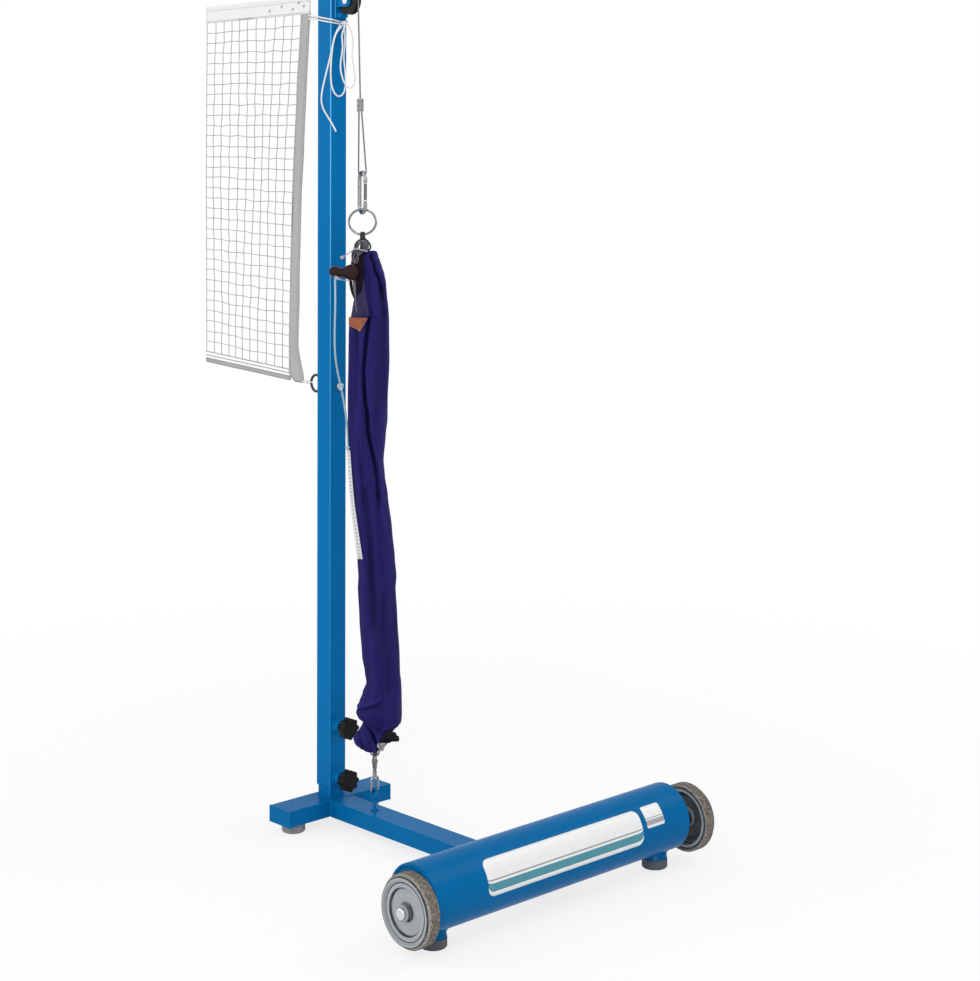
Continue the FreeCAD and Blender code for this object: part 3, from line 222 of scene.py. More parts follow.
class Finish(Nodes):
    """A material with its Principled surface."""

    def __init__(self, name):
        self.material = bpy.data.materials.new(name)
        self.material.use_nodes = True
        super().__init__(self.material.node_tree)
        self.surface = self.tree.nodes["Principled BSDF"]
        sources = self.node("ShaderNodeTexCoord", {}, {}, ("Object", "UV", "Normal"))
        self.place, self.layout, self.facing = sources

    def parts_of(self, vector):
        return self.node("ShaderNodeSeparateXYZ", {}, {0: vector}, (0, 1, 2))

    def grain(self, scale, detail=3.0, stretch=None):
        """Noise from 0 to 1; the scale is in features to the metre."""
        place = self.place
        if stretch:
            place = self.node("ShaderNodeVectorMath", {"operation": "MULTIPLY"},
                              {0: place, 1: (1.0, 1.0, stretch)})
        return self.node("ShaderNodeTexNoise", {}, {"Vector": place, "Scale": scale, "Detail": detail})

    def cells(self, scale):
        return self.node("ShaderNodeTexVoronoi", {"feature": "F1"}, {"Vector": self.place, "Scale": scale})

    def threads(self, run, pitch):
        return (run * (2 * math.pi / pitch)).sine()

    def mix(self, factor, low, high):
        """Blend two colours by a factor."""
        low, high = (colour if isinstance(colour, Wire) else (*colour, 1) for colour in (low, high))
        return self.node("ShaderNodeMix", {"data_type": "RGBA"}, {0: factor, 6: low, 7: high}, 2)

    def tint(self, factor, colour, low, high):
        """Blend two strengths of one colour."""
        return self.mix(factor, shade(colour, low), shade(colour, high))

    def bump(self, height, distance):
        self.feed(self.surface.inputs["Normal"],
                  self.node("ShaderNodeBump", {}, {"Height": height, "Distance": distance, "Strength": 1.0}))

    def set(self, colour, roughness, gloss=0.5, **more):
        values = {"Base_Color": colour, "Roughness": roughness, "Specular_IOR_Level": gloss, **more}
        for name, value in values.items():
            if isinstance(value, tuple):
                value = (*value, 1)
            self.feed(self.surface.inputs[name.replace("_", " ")], value)
        return self.material


def shade(colour, factor):
    return tuple(part * factor for part in colour)


def powder_coat(name, colour):
    """Satin powder coat with orange peel and faint blotches, and a painted highlight: paler blue on the
    upright corners, stronger higher up.
    """
    finish = Finish(name)
    painted = finish.tint(finish.grain(7, 3), colour, 0.88, 1.1)
    side, front, _ = finish.parts_of(finish.facing)
    _, _, height = finish.parts_of(finish.place)
    # Painted highlight: a pale blue band on the rounded upright corners stands in for the lamps' highlight
    # there, and fades towards the foot.
    corner = finish.ramp(abs(side * front), 0.4, 0.48, shape="SMOOTHSTEP")
    painted_highlight = corner * (0.15 + height.power(2.0) * 0.5).least(1.0)
    painted = finish.mix(painted_highlight, painted, (0.16, 0.55, 0.95))
    finish.bump(finish.grain(420, 2), 0.00012)
    rough = 0.24 + finish.grain(60, 6) * 0.14
    return finish.set(painted, rough, 0.025, Coat_Weight=0.02, Coat_Roughness=0.08)


def zinc(name, colour=(0.52, 0.53, 0.54)):
    finish = Finish(name)
    metal = finish.tint(finish.cells(260) * 0.6, colour, 0.8, 1.15)
    finish.bump(finish.grain(900, 2), 0.00005)
    return finish.set(metal, 0.28 + finish.grain(45, 5) * 0.22, Metallic=1.0)


def chrome(name, colour=(0.72, 0.73, 0.75)):
    finish = Finish(name)
    haze = finish.grain(120, 4)
    finish.bump(finish.grain(700, 2), 0.00003)
    return finish.set(finish.tint(haze, colour, 0.85, 1.0), 0.09 + haze * 0.14, Metallic=1.0)


def moulded(name, colour, roughness=0.45, gloss=0.3):
    """Moulded plastic with a fine spark-eroded grain."""
    finish = Finish(name)
    scuff = finish.grain(30, 5)
    finish.bump(finish.grain(1500, 2) + scuff * 0.5, 0.00006)
    return finish.set(finish.tint(scuff, colour, 0.82, 1.15), roughness + scuff * 0.12, gloss)


def soft_rubber(name, colour):
    finish = Finish(name)
    bloom = finish.grain(90, 5)
    finish.bump(bloom + finish.grain(2000, 2) * 0.3, 0.00012)
    return finish.set(finish.tint(bloom, colour, 0.75, 1.3), 0.7 + bloom * 0.15, 0.2)


def axle_reach(finish):
    """Distance from the wheels' axle."""
    x, _, z = finish.parts_of(finish.place)
    across, up = x - AXLE_X, z - AXLE_Z
    return (across * across + up * up).power(0.5)


def tyre_rubber(name, colour):
    """Solid tyre: a shoulder painted paler as a highlight, a ring of painted shade next to the disc, a brown
    worn tread and dust in both.
    """
    finish = Finish(name)
    reach = axle_reach(finish)
    dust = finish.grain(70, 6)
    speck = finish.ramp(finish.grain(330, 2), 0.38, 0.62)
    body = finish.tint(dust * 0.3 + speck * 0.7, colour, 0.4, 1.75)
    # Painted highlight: the shoulder inside the tread is painted a paler grey.
    body = finish.mix(finish.ramp(reach, 0.0588, 0.0565) * (0.45 + speck * 0.5), body, (0.4, 0.4, 0.38))
    # Painted shade: a near-black ring at the tyre's inner edge, where it meets the disc's flange.
    body = finish.mix(finish.ramp(reach, 0.0556, 0.0547) * 0.8, body, (0.03, 0.03, 0.028))
    finish.bump(speck * 1.2 + dust * 0.5, 0.0006)
    return finish.set(body, 0.72 + dust * 0.2, 0.15)


# The wheel's rings of painted shade, as radius and half width, and the reach of the painted shadow on its
# inner side
WHEEL_SHADE_RINGS = ((0.0141, 0.0012), (0.037, 0.0011), (0.0455, 0.0008), (0.0538, 0.0007))
WHEEL_SHADOW_REACH = 0.043


def wheel_plastic(name, colour):
    """Moulded disc with painted shade in its corners: dark rings round the hub, the well, the groove and the
    rim, and a painted shadow inside the well on its inner side.
    """
    finish = Finish(name)
    reach = axle_reach(finish)
    scuff = finish.grain(45, 5)
    # Painted shade: dark rings at the disc's steps and edges, uneven in strength.
    lines = 0.0
    for radius, half in WHEEL_SHADE_RINGS:
        lines = finish.ramp(abs(reach - radius), half * 0.5, half * 1.8, 1.0, 0.0, "SMOOTHSTEP") + lines
    plain_disc = finish.tint(scuff, colour, 0.84, 1.14)
    shaded_disc = finish.mix((lines * (scuff * 1.9)).least(1.0), plain_disc, shade(colour, 0.06))
    # Painted shadow: the inner side, which faces the counterweight, is painted near-black inside the well.
    _, y, _ = finish.parts_of(finish.place)
    _, facing, _ = finish.parts_of(finish.facing)
    inner_shadow = ((y * facing) < -0.1) * (reach < WHEEL_SHADOW_REACH)
    shaded_disc = finish.mix(inner_shadow * (0.6 + scuff * 0.4), shaded_disc, shade(colour, 0.04))
    finish.bump(finish.grain(900, 2) + scuff * 0.5, 0.00008)
    return finish.set(shaded_disc, 0.4 + scuff * 0.15, 0.35)


def twisted(name, colour, dark, turns=180, depth=0.0005):
    """Laid cord: three slanting strands that wind along it. The layout is metres along and turns round."""
    finish = Finish(name)
    run, turn, _ = finish.parts_of(finish.layout)
    wave = ((run * turns + turn) * (6 * math.pi)).sine() * 0.5 + 0.5
    lay = wave * 0.75 + finish.grain(1300, 4) * 0.4
    finish.bump(lay, depth)
    return finish.set(finish.mix(lay, dark, colour), 0.85, 0.1)


def woven(name, colour, dark, pitch=0.0011, stitches=()):
    """Woven tape: crossing threads and rows of stitches at given distances across the tape."""
    finish = Finish(name)
    run, across, _ = finish.parts_of(finish.layout)
    height = cloth = finish.threads(run, pitch) * finish.threads(across, pitch) * 0.5 + 0.5
    soil = finish.grain(26, 5)
    body = finish.mix(cloth * 0.5 + soil * 0.5, dark, colour)
    if stitches:
        seam = 0.0
        for row in stitches:
            seam = (abs(across - row) < 0.0007) * ((run % 0.0042) < 0.003) + seam
        height = height - seam * 1.6
        body = finish.mix(seam * 0.45, body, shade(colour, 0.45))
    finish.bump(height, 0.00022)
    return finish.set(body, 0.8 + soil * 0.1, 0.1)


def sleeve_cloth(name, colour):
    """Thin proofed cloth: tight weave and tiny creases, with painted shade in the hollows of its folds and a
    painted highlight on their crests and on the creases' ridges.
    """
    finish = Finish(name)
    run, across, _ = finish.parts_of(finish.layout)
    weave = finish.threads(run, 0.0007) * finish.threads(across, 0.0007)
    crease = finish.grain(55, 4, 0.28)
    fine = finish.grain(320, 3)
    body = finish.tint(finish.grain(9, 3, 0.4), colour, 0.85, 1.15)
    fold_shading = finish.node("ShaderNodeAttribute", {"attribute_name": "fold_shading"}, {}, 2)
    # Painted shade in the hollows of the folds and painted highlight on their crests, read from the cloth's
    # colour attribute.
    body = finish.mix(finish.ramp(fold_shading, 0.5, 0.0) * 0.85, body, shade(colour, 0.16))
    body = finish.mix(finish.ramp(fold_shading, 0.5, 1.0) * 0.7, body, shade(colour, 1.9))
    # Painted highlight on the ridges of the fine creases, which the bump below raises.
    body = finish.mix((crease - 0.5) * 0.4, body, shade(colour, 1.8))
    finish.bump(crease * 2.2 + fine * 0.5 + weave * 0.12, 0.0009)
    return finish.set(body, 0.5 + fine * 0.15, 0.08)


def hide(name, colour):
    """Leather: pebbled grain between fine pores, rubbed on its crests."""
    finish = Finish(name)
    pebble = finish.cells(520)
    crease = finish.grain(130, 5)
    rubbed = finish.mix((0.35 - pebble) * 0.5, finish.tint(crease, colour, 0.6, 1.35), shade(colour, 2.2))
    finish.bump(pebble * -1.0 + crease * 1.4, 0.0005)
    return finish.set(rubbed, 0.42 + crease * 0.25, 0.22)


def printed_label(name, ink, band, width):
    """Blank sticker stock with two plain stripes along one edge."""
    finish = Finish(name)
    _, across, _ = finish.parts_of(finish.layout)
    scuff = finish.grain(80, 6)
    body = finish.mix(scuff, (0.78, 0.79, 0.8), (0.9, 0.9, 0.9))
    for low, high, colour in ((0.12, 0.34, ink), (0.4, 0.44, band)):
        body = finish.mix((across > width * low) * (across < width * high), body, colour)
    finish.bump(scuff, 0.00004)
    return finish.set(body, 0.34 + scuff * 0.1)


def dotted_webbing(name, white):
    """Narrow webbing with a dark thread that comes up at every other weft."""
    finish = Finish(name)
    run, across, _ = finish.parts_of(finish.layout)
    dot = (abs(across - 0.0035) < 0.0011) * (finish.threads(run, 0.0062) > 0.1)
    rib = finish.threads(run, 0.0015) * 0.5 + 0.5
    fuzz = finish.grain(900, 4)
    body = finish.tint(rib * 0.5 + fuzz * 0.4, white, 0.66, 1.0)
    finish.bump(rib + fuzz * 0.4 - dot * 0.6, 0.0003)
    return finish.set(finish.mix(dot * 0.75, body, (0.3, 0.28, 0.38)), 0.85, Sheen_Weight=0.2)


def wire_strands(name):
    """Wire rope with its strands slanting round it."""
    finish = Finish(name)
    x, y, z = finish.parts_of(finish.place)
    slant = ((x + y * 2.0 + z * 1.6) * 2100).sine() * 0.5 + 0.5
    haze = finish.grain(700, 4)
    metal = finish.mix(slant * 0.7 + haze * 0.3, (0.07, 0.068, 0.066), (0.36, 0.35, 0.34))
    finish.bump(slant, 0.00035)
    return finish.set(metal, 0.34 + haze * 0.2, Metallic=1.0)


# Mesh forms; corners closer than this are joined
SAME_PLACE = 0.000004


class Form:
    """Corners and faces of one piece, laid out in metres."""

    def __init__(self):
        self.corners, self.faces, self.layout = [], [], []

    def add_face(self, face, flat, flip):
        self.faces.append(face[::-1] if flip else face)
        self.layout.extend(flat[::-1] if flip else flat)

    def add_grid(self, rows, layout, wrap=False, flip=False):
        """Skin a grid of points; each row has as many points as the first."""
        start, width = len(self.corners), len(rows[0])
        for row in rows:
            self.corners.extend(row)
        for line in range(len(rows) - 1):
            for place in range(width if wrap else width - 1):
                a, b = (start + line * width + at for at in (place, (place + 1) % width))
                flat = (layout(line, place), layout(line, place + 1),
                        layout(line + 1, place + 1), layout(line + 1, place))
                self.add_face((a, b, b + width, a + width), flat, flip)
        return start

    def add_body(self, rows, layout, flip=False):
        """Skin a stack of rings, with a fan round the middle at each end."""
        width = len(rows[0])
        start = self.add_grid(rows, layout, wrap=True, flip=flip)
        for first, turned in ((start, not flip), (start + (len(rows) - 1) * width, flip)):
            centre = len(self.corners)
            self.corners.append(sum(self.corners[first:first + width], Vector()) / width)
            for side in range(width):
                self.add_face((first + side, first + (side + 1) % width, centre), ((0, 0),) * 3, turned)
        return self

    def add_tube(self, line, radius, sides=10, closed=False):
        """A round tube along a line; the radius is a number or one number for each point."""
        count = len(line)
        radii = radius if isinstance(radius, list) else [radius] * count
        rows, run = [], [0.0]
        tangent = (line[1] - line[0]).normalized()
        normal = tangent.orthogonal().normalized()
        for number, point in enumerate(line):
            if closed:
                ahead, behind = line[(number + 1) % count], line[number - 1]
            else:
                ahead, behind = line[min(number + 1, count - 1)], line[max(number - 1, 0)]
            fresh = (ahead - behind).normalized()
            normal = (tangent.rotation_difference(fresh) @ normal).normalized()
            tangent = fresh
            if number:
                run.append(run[-1] + (point - line[number - 1]).length)
            rows.append(ring(point, normal * radii[number], tangent.cross(normal) * radii[number], sides))

        def layout(row, place):
            return run[row], place / sides
        if closed:
            rows.append(rows[0])
            run.append(run[-1] + (line[0] - line[-1]).length)
            self.add_grid(rows, layout, wrap=True)
        else:
            self.add_body(rows, layout)
        return self

    def add_sheet(self, rows, thickness, layout):
        """A grid of points given a thickness, closed round its edges."""
        count, width = len(rows), len(rows[0])

        def pushed(out):
            moved = []
            for line, row in enumerate(rows):
                moved.append([])
                for place, point in enumerate(row):
                    up = rows[min(line + 1, count - 1)][place] - rows[max(line - 1, 0)][place]
                    over = row[min(place + 1, width - 1)] - row[max(place - 1, 0)]
                    moved[-1].append(point + over.cross(up).normalized() * out)
            return moved
        front, back = pushed(thickness / 2), pushed(-thickness / 2)
        self.add_grid(front, layout)
        self.add_grid(back, layout, flip=True)
        for line in (0, count - 1):
            self.add_grid([front[line], back[line]], lambda row, place, at=line: layout(at, place),
                          flip=line == 0)
        for place in (0, width - 1):
            edges = [[row[place] for row in side] for side in (front, back)]
            self.add_grid(edges, lambda row, at, side=place: layout(at, side), flip=place != 0)
        return self

    def make(self, name, body, finish, slot, stands_for=(), rounding=0):
        """Turn the form into an object that rides on a body."""
        mesh = bpy.data.meshes.new(name)
        mesh.from_pydata([tuple(corner) for corner in self.corners], [], self.faces)
        flat = mesh.uv_layers.new(name="layout")
        for number, place in enumerate(self.layout):
            flat.data[number].uv = place
        joined = bmesh.new()
        joined.from_mesh(mesh)
        bmesh.ops.remove_doubles(joined, verts=joined.verts, dist=SAME_PLACE)
        joined.to_mesh(mesh)
        joined.free()
        for polygon in mesh.polygons:
            polygon.use_smooth = True
        thing = bpy.data.objects.new(name, mesh)
        if rounding:
            rounded = thing.modifiers.new("rounding", "SUBSURF")
            rounded.levels = rounded.render_levels = rounding
        return finish_piece(thing, body, finish, stands_for)


def finish_piece(thing, body, finish, stands_for=()):
    bpy.context.scene.collection.objects.link(thing)
    thing.data.materials.append(finish)
    if body:
        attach(thing, body)
    if stands_for:
        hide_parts(*stands_for)
    return thing


def cord_curve(name, points, radius):
    """A limp cord on one smooth spline with these points as its control points."""
    data = bpy.data.curves.new(name, "CURVE")
    data.dimensions = "3D"
    data.bevel_depth, data.bevel_resolution, data.resolution_u = radius, 4, 14
    data.use_fill_caps = True
    spline = data.splines.new("NURBS")
    spline.points.add(len(points) - 1)
    for place, point in zip(spline.points, points):
        place.co = (*point, 1)
    spline.order_u = 3
    spline.use_endpoint_u = True
    return bpy.data.objects.new(name, data)


def overhand_knot(form, centre, size, wire):
    """A pulled-up overhand knot of round cord, seen from the front."""
    line = []
    for turn in angles(72):
        across = RIGHT * (math.sin(turn) + 2 * math.sin(2 * turn))
        over = Z * (math.cos(turn) - 2 * math.cos(2 * turn))
        line.append(centre + (across + over - RIGHT.cross(Z) * 1.4 * math.sin(3 * turn)) * size / 3)
    form.add_tube(line, wire, 10, closed=True)


# Settings that a user would change

def colour_setting(name, description, default):
    return FloatVectorProperty(name=name, description=description, size=3, subtype="COLOR", default=default)


def length_setting(name, description, default):
    return FloatProperty(name=name, description=description, default=default, unit="LENGTH")


class PostColours(bpy.types.PropertyGroup):
    paint: colour_setting("Paint", "Powder coat of the steel", (0.001, 0.162, 0.43))
    sleeve: colour_setting("Sleeve", "Cloth of the sleeve", (0.0185, 0.0155, 0.125))
    tape: colour_setting("Tape", "Side and foot tape of the net", (0.56, 0.55, 0.54))
    cord: colour_setting("Cord", "Tie cord and pull cord", (0.97, 0.97, 0.96))
    wheel: colour_setting("Wheel", "Plastic of the wheel discs", (0.36, 0.39, 0.4))


class NetSizes(bpy.types.PropertyGroup):
    columns: IntProperty(name="Columns", description="Meshes between the cut and the side tape",
                         default=11, min=1)
    rows: IntProperty(name="Rows", description="Meshes between the head band and the foot", default=32, min=1)
    cord: length_setting("Cord", "Thickness of the net's cord", 0.0017)
    slack: length_setting("Slack", "How far a knot may lie off its even place", 0.0016)


class SleeveSizes(bpy.types.PropertyGroup):
    folds: length_setting("Folds", "Depth of the long soft folds", 0.0016)
    creases: FloatProperty(name="Creases", description="Share of the creases' full depth", default=1.0,
                           min=0, max=2)


# The net: its cut, its edge at the head, how far the edge draws in and bows, and its heights at both ends
CUT, EDGE, DRAW, BOW = 0.396, 0.065, 0.0663, 0.0303
HEAD_RIGHT, HEAD_LEFT = 1.519, 1.510
FOOT_RIGHT, FOOT_LEFT = 0.823, 0.838
TAPE = 0.027
CORNER = Vector((-0.082, 0, 0.811))
# The meshes' room under the head line and over the foot line, and how far they sag near the post
UNDER_HEAD, OVER_FOOT, SAG = 0.003, 0.009, 0.0045


def side_edge(height):
    """The net's outer edge, drawn in by the net's own weight."""
    share = (HEAD_RIGHT - height) / (HEAD_RIGHT - FOOT_RIGHT)
    return -EDGE - DRAW * share + BOW * share ** 2


def head_line(x):
    return HEAD_RIGHT + (x + EDGE) / (EDGE - CUT) * (HEAD_LEFT - HEAD_RIGHT)


def foot_line(x):
    return FOOT_RIGHT + (x - CORNER.x) / (-CORNER.x - CUT) * (FOOT_LEFT - FOOT_RIGHT)


def from_cut(end, share):
    """A place between the net's cut and an end."""
    return -CUT + (end + CUT) * share


def knot_place(share_across, share_down):
    """A knot of the net, by its shares from the cut and from the head band."""
    right = side_edge(HEAD_RIGHT + share_down * (FOOT_RIGHT + 0.01 - HEAD_RIGHT)) - TAPE
    x = from_cut(right, share_across)
    high, low = head_line(x) - UNDER_HEAD, foot_line(x) + OVER_FOOT
    sag = SAG * smooth(-0.35, -0.12, x) * smooth(0.0, 0.09, share_down) * smooth(0.3, 0.2, share_down)
    return Vector((x, 0, high + (low - high) * share_down - sag))


class OBJECT_OT_post_net(bpy.types.Operator):
    """Knot the open net from round cord"""
    bl_idname = "object.post_net"
    bl_label = "Net"

    def execute(self, context):
        sizes = context.scene.net_sizes
        columns, rows, half = sizes.columns, sizes.rows, sizes.cord / 2
        chance = random.Random(11)
        lines = grid(columns, rows, knot_place)
        for column, line in enumerate(lines):
            for row, place in enumerate(line):
                loose = sizes.slack if 0 < column < columns and 0 < row < rows else 0.0
                place.x += chance.uniform(-loose, loose)
                place.z += chance.uniform(-loose, loose)
                place.y = 0.0025 * math.sin(place.x * 31) * math.sin(place.z * 9)
        form = Form()
        for line in lines + list(zip(*lines)):
            form.add_tube(curve_through(line, 3), half, 6)
        for line in lines[1:-1]:
            for place in line[1:-1]:
                lean = chance.uniform(-0.4, 0.4)
                reach = Vector((math.cos(lean), 0, math.sin(lean))) * half * 1.7
                across = Vector((-math.sin(lean), 0, math.cos(lean))) * half * 1.7
                form.add_tube([place - reach, place - reach * 0.4, place + reach * 0.4, place + reach],
                              [half * 0.7, half * 1.75, half * 1.75, half * 0.7], 6)
                form.add_tube([place - across, place, place + across],
                              [half * 0.8, half * 1.6, half * 0.8], 6)
        finish = twisted("net cord", (0.68, 0.66, 0.65), (0.44, 0.42, 0.42), 260)
        form.make("net_cords", "post", finish, "net_cord", ("net_mesh",))
        return {"FINISHED"}


# The head band's half outline: height and half thickness, with the head cord's roll at the top
BAND_OUTLINE = (
    (0, 0.0011), (0.006, 0.0012), (0.014, 0.0011), (0.022, 0.0012), (0.026, 0.0016), (0.0285, 0.0027),
    (0.0312, 0.0033), (0.0335, 0.0024), (0.034, 0.0))
BAND_HEIGHT, BAND_DROP, ROLL_FOOT = BAND_OUTLINE[-1][0], 0.0045, 0.026
# Loose dark threads on the band: place along the net and height
BAND_THREADS = ((-0.19, 0.006), (-0.152, 0.012), (-0.118, 0.005), (-0.1, 0.016), (-0.084, 0.009))


class OBJECT_OT_post_tapes(bpy.types.Operator):
    """Hem the net with its white head band and its grey side and foot tapes"""
    bl_idname = "object.post_tapes"
    bl_label = "Tapes"

    def execute(self, context):
        grey = tuple(context.scene.post_colours.tape)
        dark = shade(grey, 0.72)
        self.head_band()
        self.side_tape(woven("grey tape", grey, dark, stitches=(0.004, 0.0225)))
        self.foot_tape(woven("grey foot tape", grey, dark, stitches=(0.002, 0.0068)))
        self.foot_cords()
        return {"FINISHED"}

    def head_band(self):
        """Canvas folded over the head cord, which shows as a roll along the top."""
        outline = BAND_OUTLINE + tuple((up, -out) for up, out in reversed(BAND_OUTLINE[:-1]))
        steps = 56
        rows = []
        for step in range(steps + 1):
            x = from_cut(-EDGE, step / steps)
            ripple = 0.0007 * math.sin(x * 90) + 0.0008 * math.sin(x * 37 + 1)
            row = []
            for up, out in outline:
                soft = 1.0 if up > ROLL_FOOT else 1.0 + 0.25 * math.sin(x * 160 + up * 300)
                sway = ripple * (1 - up / BAND_HEIGHT)
                row.append(Vector((x, out * soft + sway, head_line(x) - BAND_DROP + up)))
            rows.append(row)
        length = (CUT - EDGE) / steps
        tops = [up for up, _ in outline] + [0.0]
        form = Form().add_body(rows, lambda row, place: (row * length, tops[place]))
        white = woven("white band", (0.97, 0.97, 0.96), (0.9, 0.9, 0.89), 0.0009, (0.0035, 0.0245))
        band = form.make("head_band", "post", white, "white_tape", ("net_head_band",))
        marks = Form()
        for x, up in BAND_THREADS:
            foot = Vector((x, -0.0024, head_line(x) + up))
            line = [foot, foot + Vector((0.002, -0.0006, 0.003)), foot + Vector((0.0045, 0, 0.0042))]
            marks.add_tube(curve_through(line, 4), 0.0006, 6)
        thread = twisted("dark thread", (0.1, 0.1, 0.1), (0.03, 0.03, 0.03), 400)
        marks.make("band_threads", "post", thread, "dark_cord")

    def side_tape(self, finish):
        """The tape flares towards the tied corner, and its inner edge is cut off at the foot."""
        steps, across, thickness = 90, 8, 0.0021
        low, high = CORNER.z + 0.001, HEAD_RIGHT
        flare_top, flare_foot, cut_off = 0.885, 0.812, 0.45
        sway_depth, crown_depth = 0.0016, 0.0007

        def point(up, share):
            z = low + (high - low) * up
            inner = side_edge(z) - TAPE
            flare = smooth(flare_top, flare_foot, z)
            outer = side_edge(z) * (1 - flare) + CORNER.x * flare
            if z < FOOT_RIGHT:
                inner += (outer - inner) * smooth(FOOT_RIGHT, low, z) * cut_off
            x = inner + (outer - inner) * share
            sway = sway_depth * noise.noise(Vector((x * 30, 4.0, z * 14)))
            crown = crown_depth * (1 - (2 * share - 1) ** 2)
            return Vector((x, -crown + sway, z))
        form = Form().add_sheet(grid(steps, across, point), thickness,
                                spaced((high - low) / steps, TAPE / across))
        tape = form.make("side_tape", "post", finish, "grey_tape", ("net_side_tape",))

    def foot_tape(self, finish):
        """The tape hangs from the foot line and sways at its lower edge."""
        end = side_edge(FOOT_RIGHT) - TAPE + 0.003
        steps, across = 50, 5
        width, thickness, drop, sway = 0.0089, 0.0024, 0.003, 0.0012

        def point(up, share):
            x = from_cut(end, share)
            return Vector((x, sway * math.sin(x * 44) * (1 - up), foot_line(x) - drop - width * (1 - up)))
        form = Form().add_sheet(grid(across, steps, point), thickness,
                                lambda line, place: (place * (end + CUT) / steps, line * width / across))
        tape = form.make("foot_tape", "post", finish, "grey_tape", ("net_foot_tape",))

    def foot_cords(self):
        """Two foot lines that run above the foot tape and through the side tape."""
        form = Form()
        radius, sway, steps = 0.0012, 0.0004, 40
        end = side_edge(0.84) - TAPE + 0.004
        places = [from_cut(end, step / steps) for step in range(steps + 1)]
        for lift, lean in ((0.0022, 0.4), (0.0092, 1.7)):
            line = [Vector((x, sway * math.sin(x * 60 + lean), foot_line(x) + lift)) for x in places]
            form.add_tube(line, radius, 8)
        finish = twisted("foot line", (0.66, 0.67, 0.69), (0.36, 0.37, 0.39), 220)
        form.make("foot_lines", "post", finish, "net_cord")


# Cord routes: right, towards the viewer and up, in metres
BOW_LEFT = (
    (0.0155, 0.0215, 1.491), (0.008, 0.025, 1.48), (0.0025, 0.029, 1.462), (-0.0005, 0.032, 1.438),
    (-0.0025, 0.033, 1.412), (-0.0025, 0.0325, 1.388), (0.001, 0.031, 1.369), (0.009, 0.0285, 1.357),
    (0.018, 0.0255, 1.358), (0.024, 0.0225, 1.369), (0.0255, 0.0205, 1.388), (0.024, 0.02, 1.408),
    (0.021, 0.0197, 1.43), (0.024, 0.019, 1.455), (0.0235, 0.0186, 1.474), (0.0225, 0.0185, 1.4874))
BOW_RIGHT = (
    (0.0283, 0.017, 1.493), (0.034, 0.017, 1.484), (0.039, 0.018, 1.469), (0.0385, 0.019, 1.45),
    (0.0375, 0.02, 1.43), (0.041, 0.0205, 1.409), (0.0435, 0.021, 1.391), (0.041, 0.0225, 1.377),
    (0.0325, 0.025, 1.371), (0.023, 0.027, 1.381), (0.0165, 0.028, 1.4), (0.015, 0.0283, 1.418),
    (0.019, 0.028, 1.44), (0.0195, 0.0275, 1.458), (0.017, 0.027, 1.472), (0.024, 0.0222, 1.4898))
TAIL = (
    (0.018, 0.021, 1.488), (0.013, 0.0325, 1.483), (0.0055, 0.0375, 1.471), (0.001, 0.039, 1.452),
    (-0.0035, 0.0385, 1.43), (-0.009, 0.0365, 1.409), (-0.014, 0.0345, 1.388), (-0.0185, 0.033, 1.368),
    (-0.0205, 0.0325, 1.35), (-0.017, 0.0325, 1.334), (-0.0085, 0.033, 1.32), (0.0005, 0.033, 1.306),
    (0.0075, 0.032, 1.292))
PULL_CORD = (
    (0.006, 0.1058, 1.0251), (0.007, 0.1065, 0.985), (0.0055, 0.1053, 0.938), (0.0055, 0.1035, 0.892),
    (0.0095, 0.1018, 0.858), (0.0165, 0.1002, 0.829), (0.022, 0.0991, 0.8), (0.027, 0.0986, 0.768),
    (0.029, 0.0992, 0.738), (0.0295, 0.1002, 0.712))
STRIP = (
    (0.031, 0.0992, 0.709), (0.034, 0.1022, 0.66), (0.038, 0.1052, 0.61), (0.045, 0.1107, 0.556),
    (0.051, 0.1127, 0.512))
# The tie cord's three turns round the post, as plain places
TIE_TURNS = (
    ((-0.0665, -0.0024, 1.511), (-0.042, -0.0125, 1.509), (-0.0205, -0.0216, 1.507),
     (-0.0165, -0.0223, 1.5067), (0.016, -0.0223, 1.5015), (0.0205, -0.0217, 1.5009),
     (0.0226, -0.019, 1.5004), (0.0226, -0.008, 1.4985), (0.0232, -0.0006, 1.4972)),
    ((-0.0665, -0.0024, 1.5054), (-0.042, -0.0125, 1.5033), (-0.0205, -0.0216, 1.5015),
     (-0.0165, -0.0223, 1.5011), (0.016, -0.0223, 1.496), (0.0205, -0.0217, 1.4955),
     (0.0226, -0.019, 1.495), (0.0226, -0.008, 1.4936), (0.0232, -0.0006, 1.4928)),
    ((-0.0665, 0.0024, 1.508), (-0.042, 0.0125, 1.5055), (-0.0205, 0.0216, 1.503),
     (-0.0165, 0.0223, 1.5027), (0.016, 0.0223, 1.498), (0.0205, 0.0219, 1.4975), (0.0228, 0.019, 1.4968),
     (0.0243, 0.012, 1.494)))
TIE_RADIUS, PULL_RADIUS = 0.0015, 0.0018
LASHING_RADIUS, WHIPPING_RADIUS = 0.0012, 0.0009


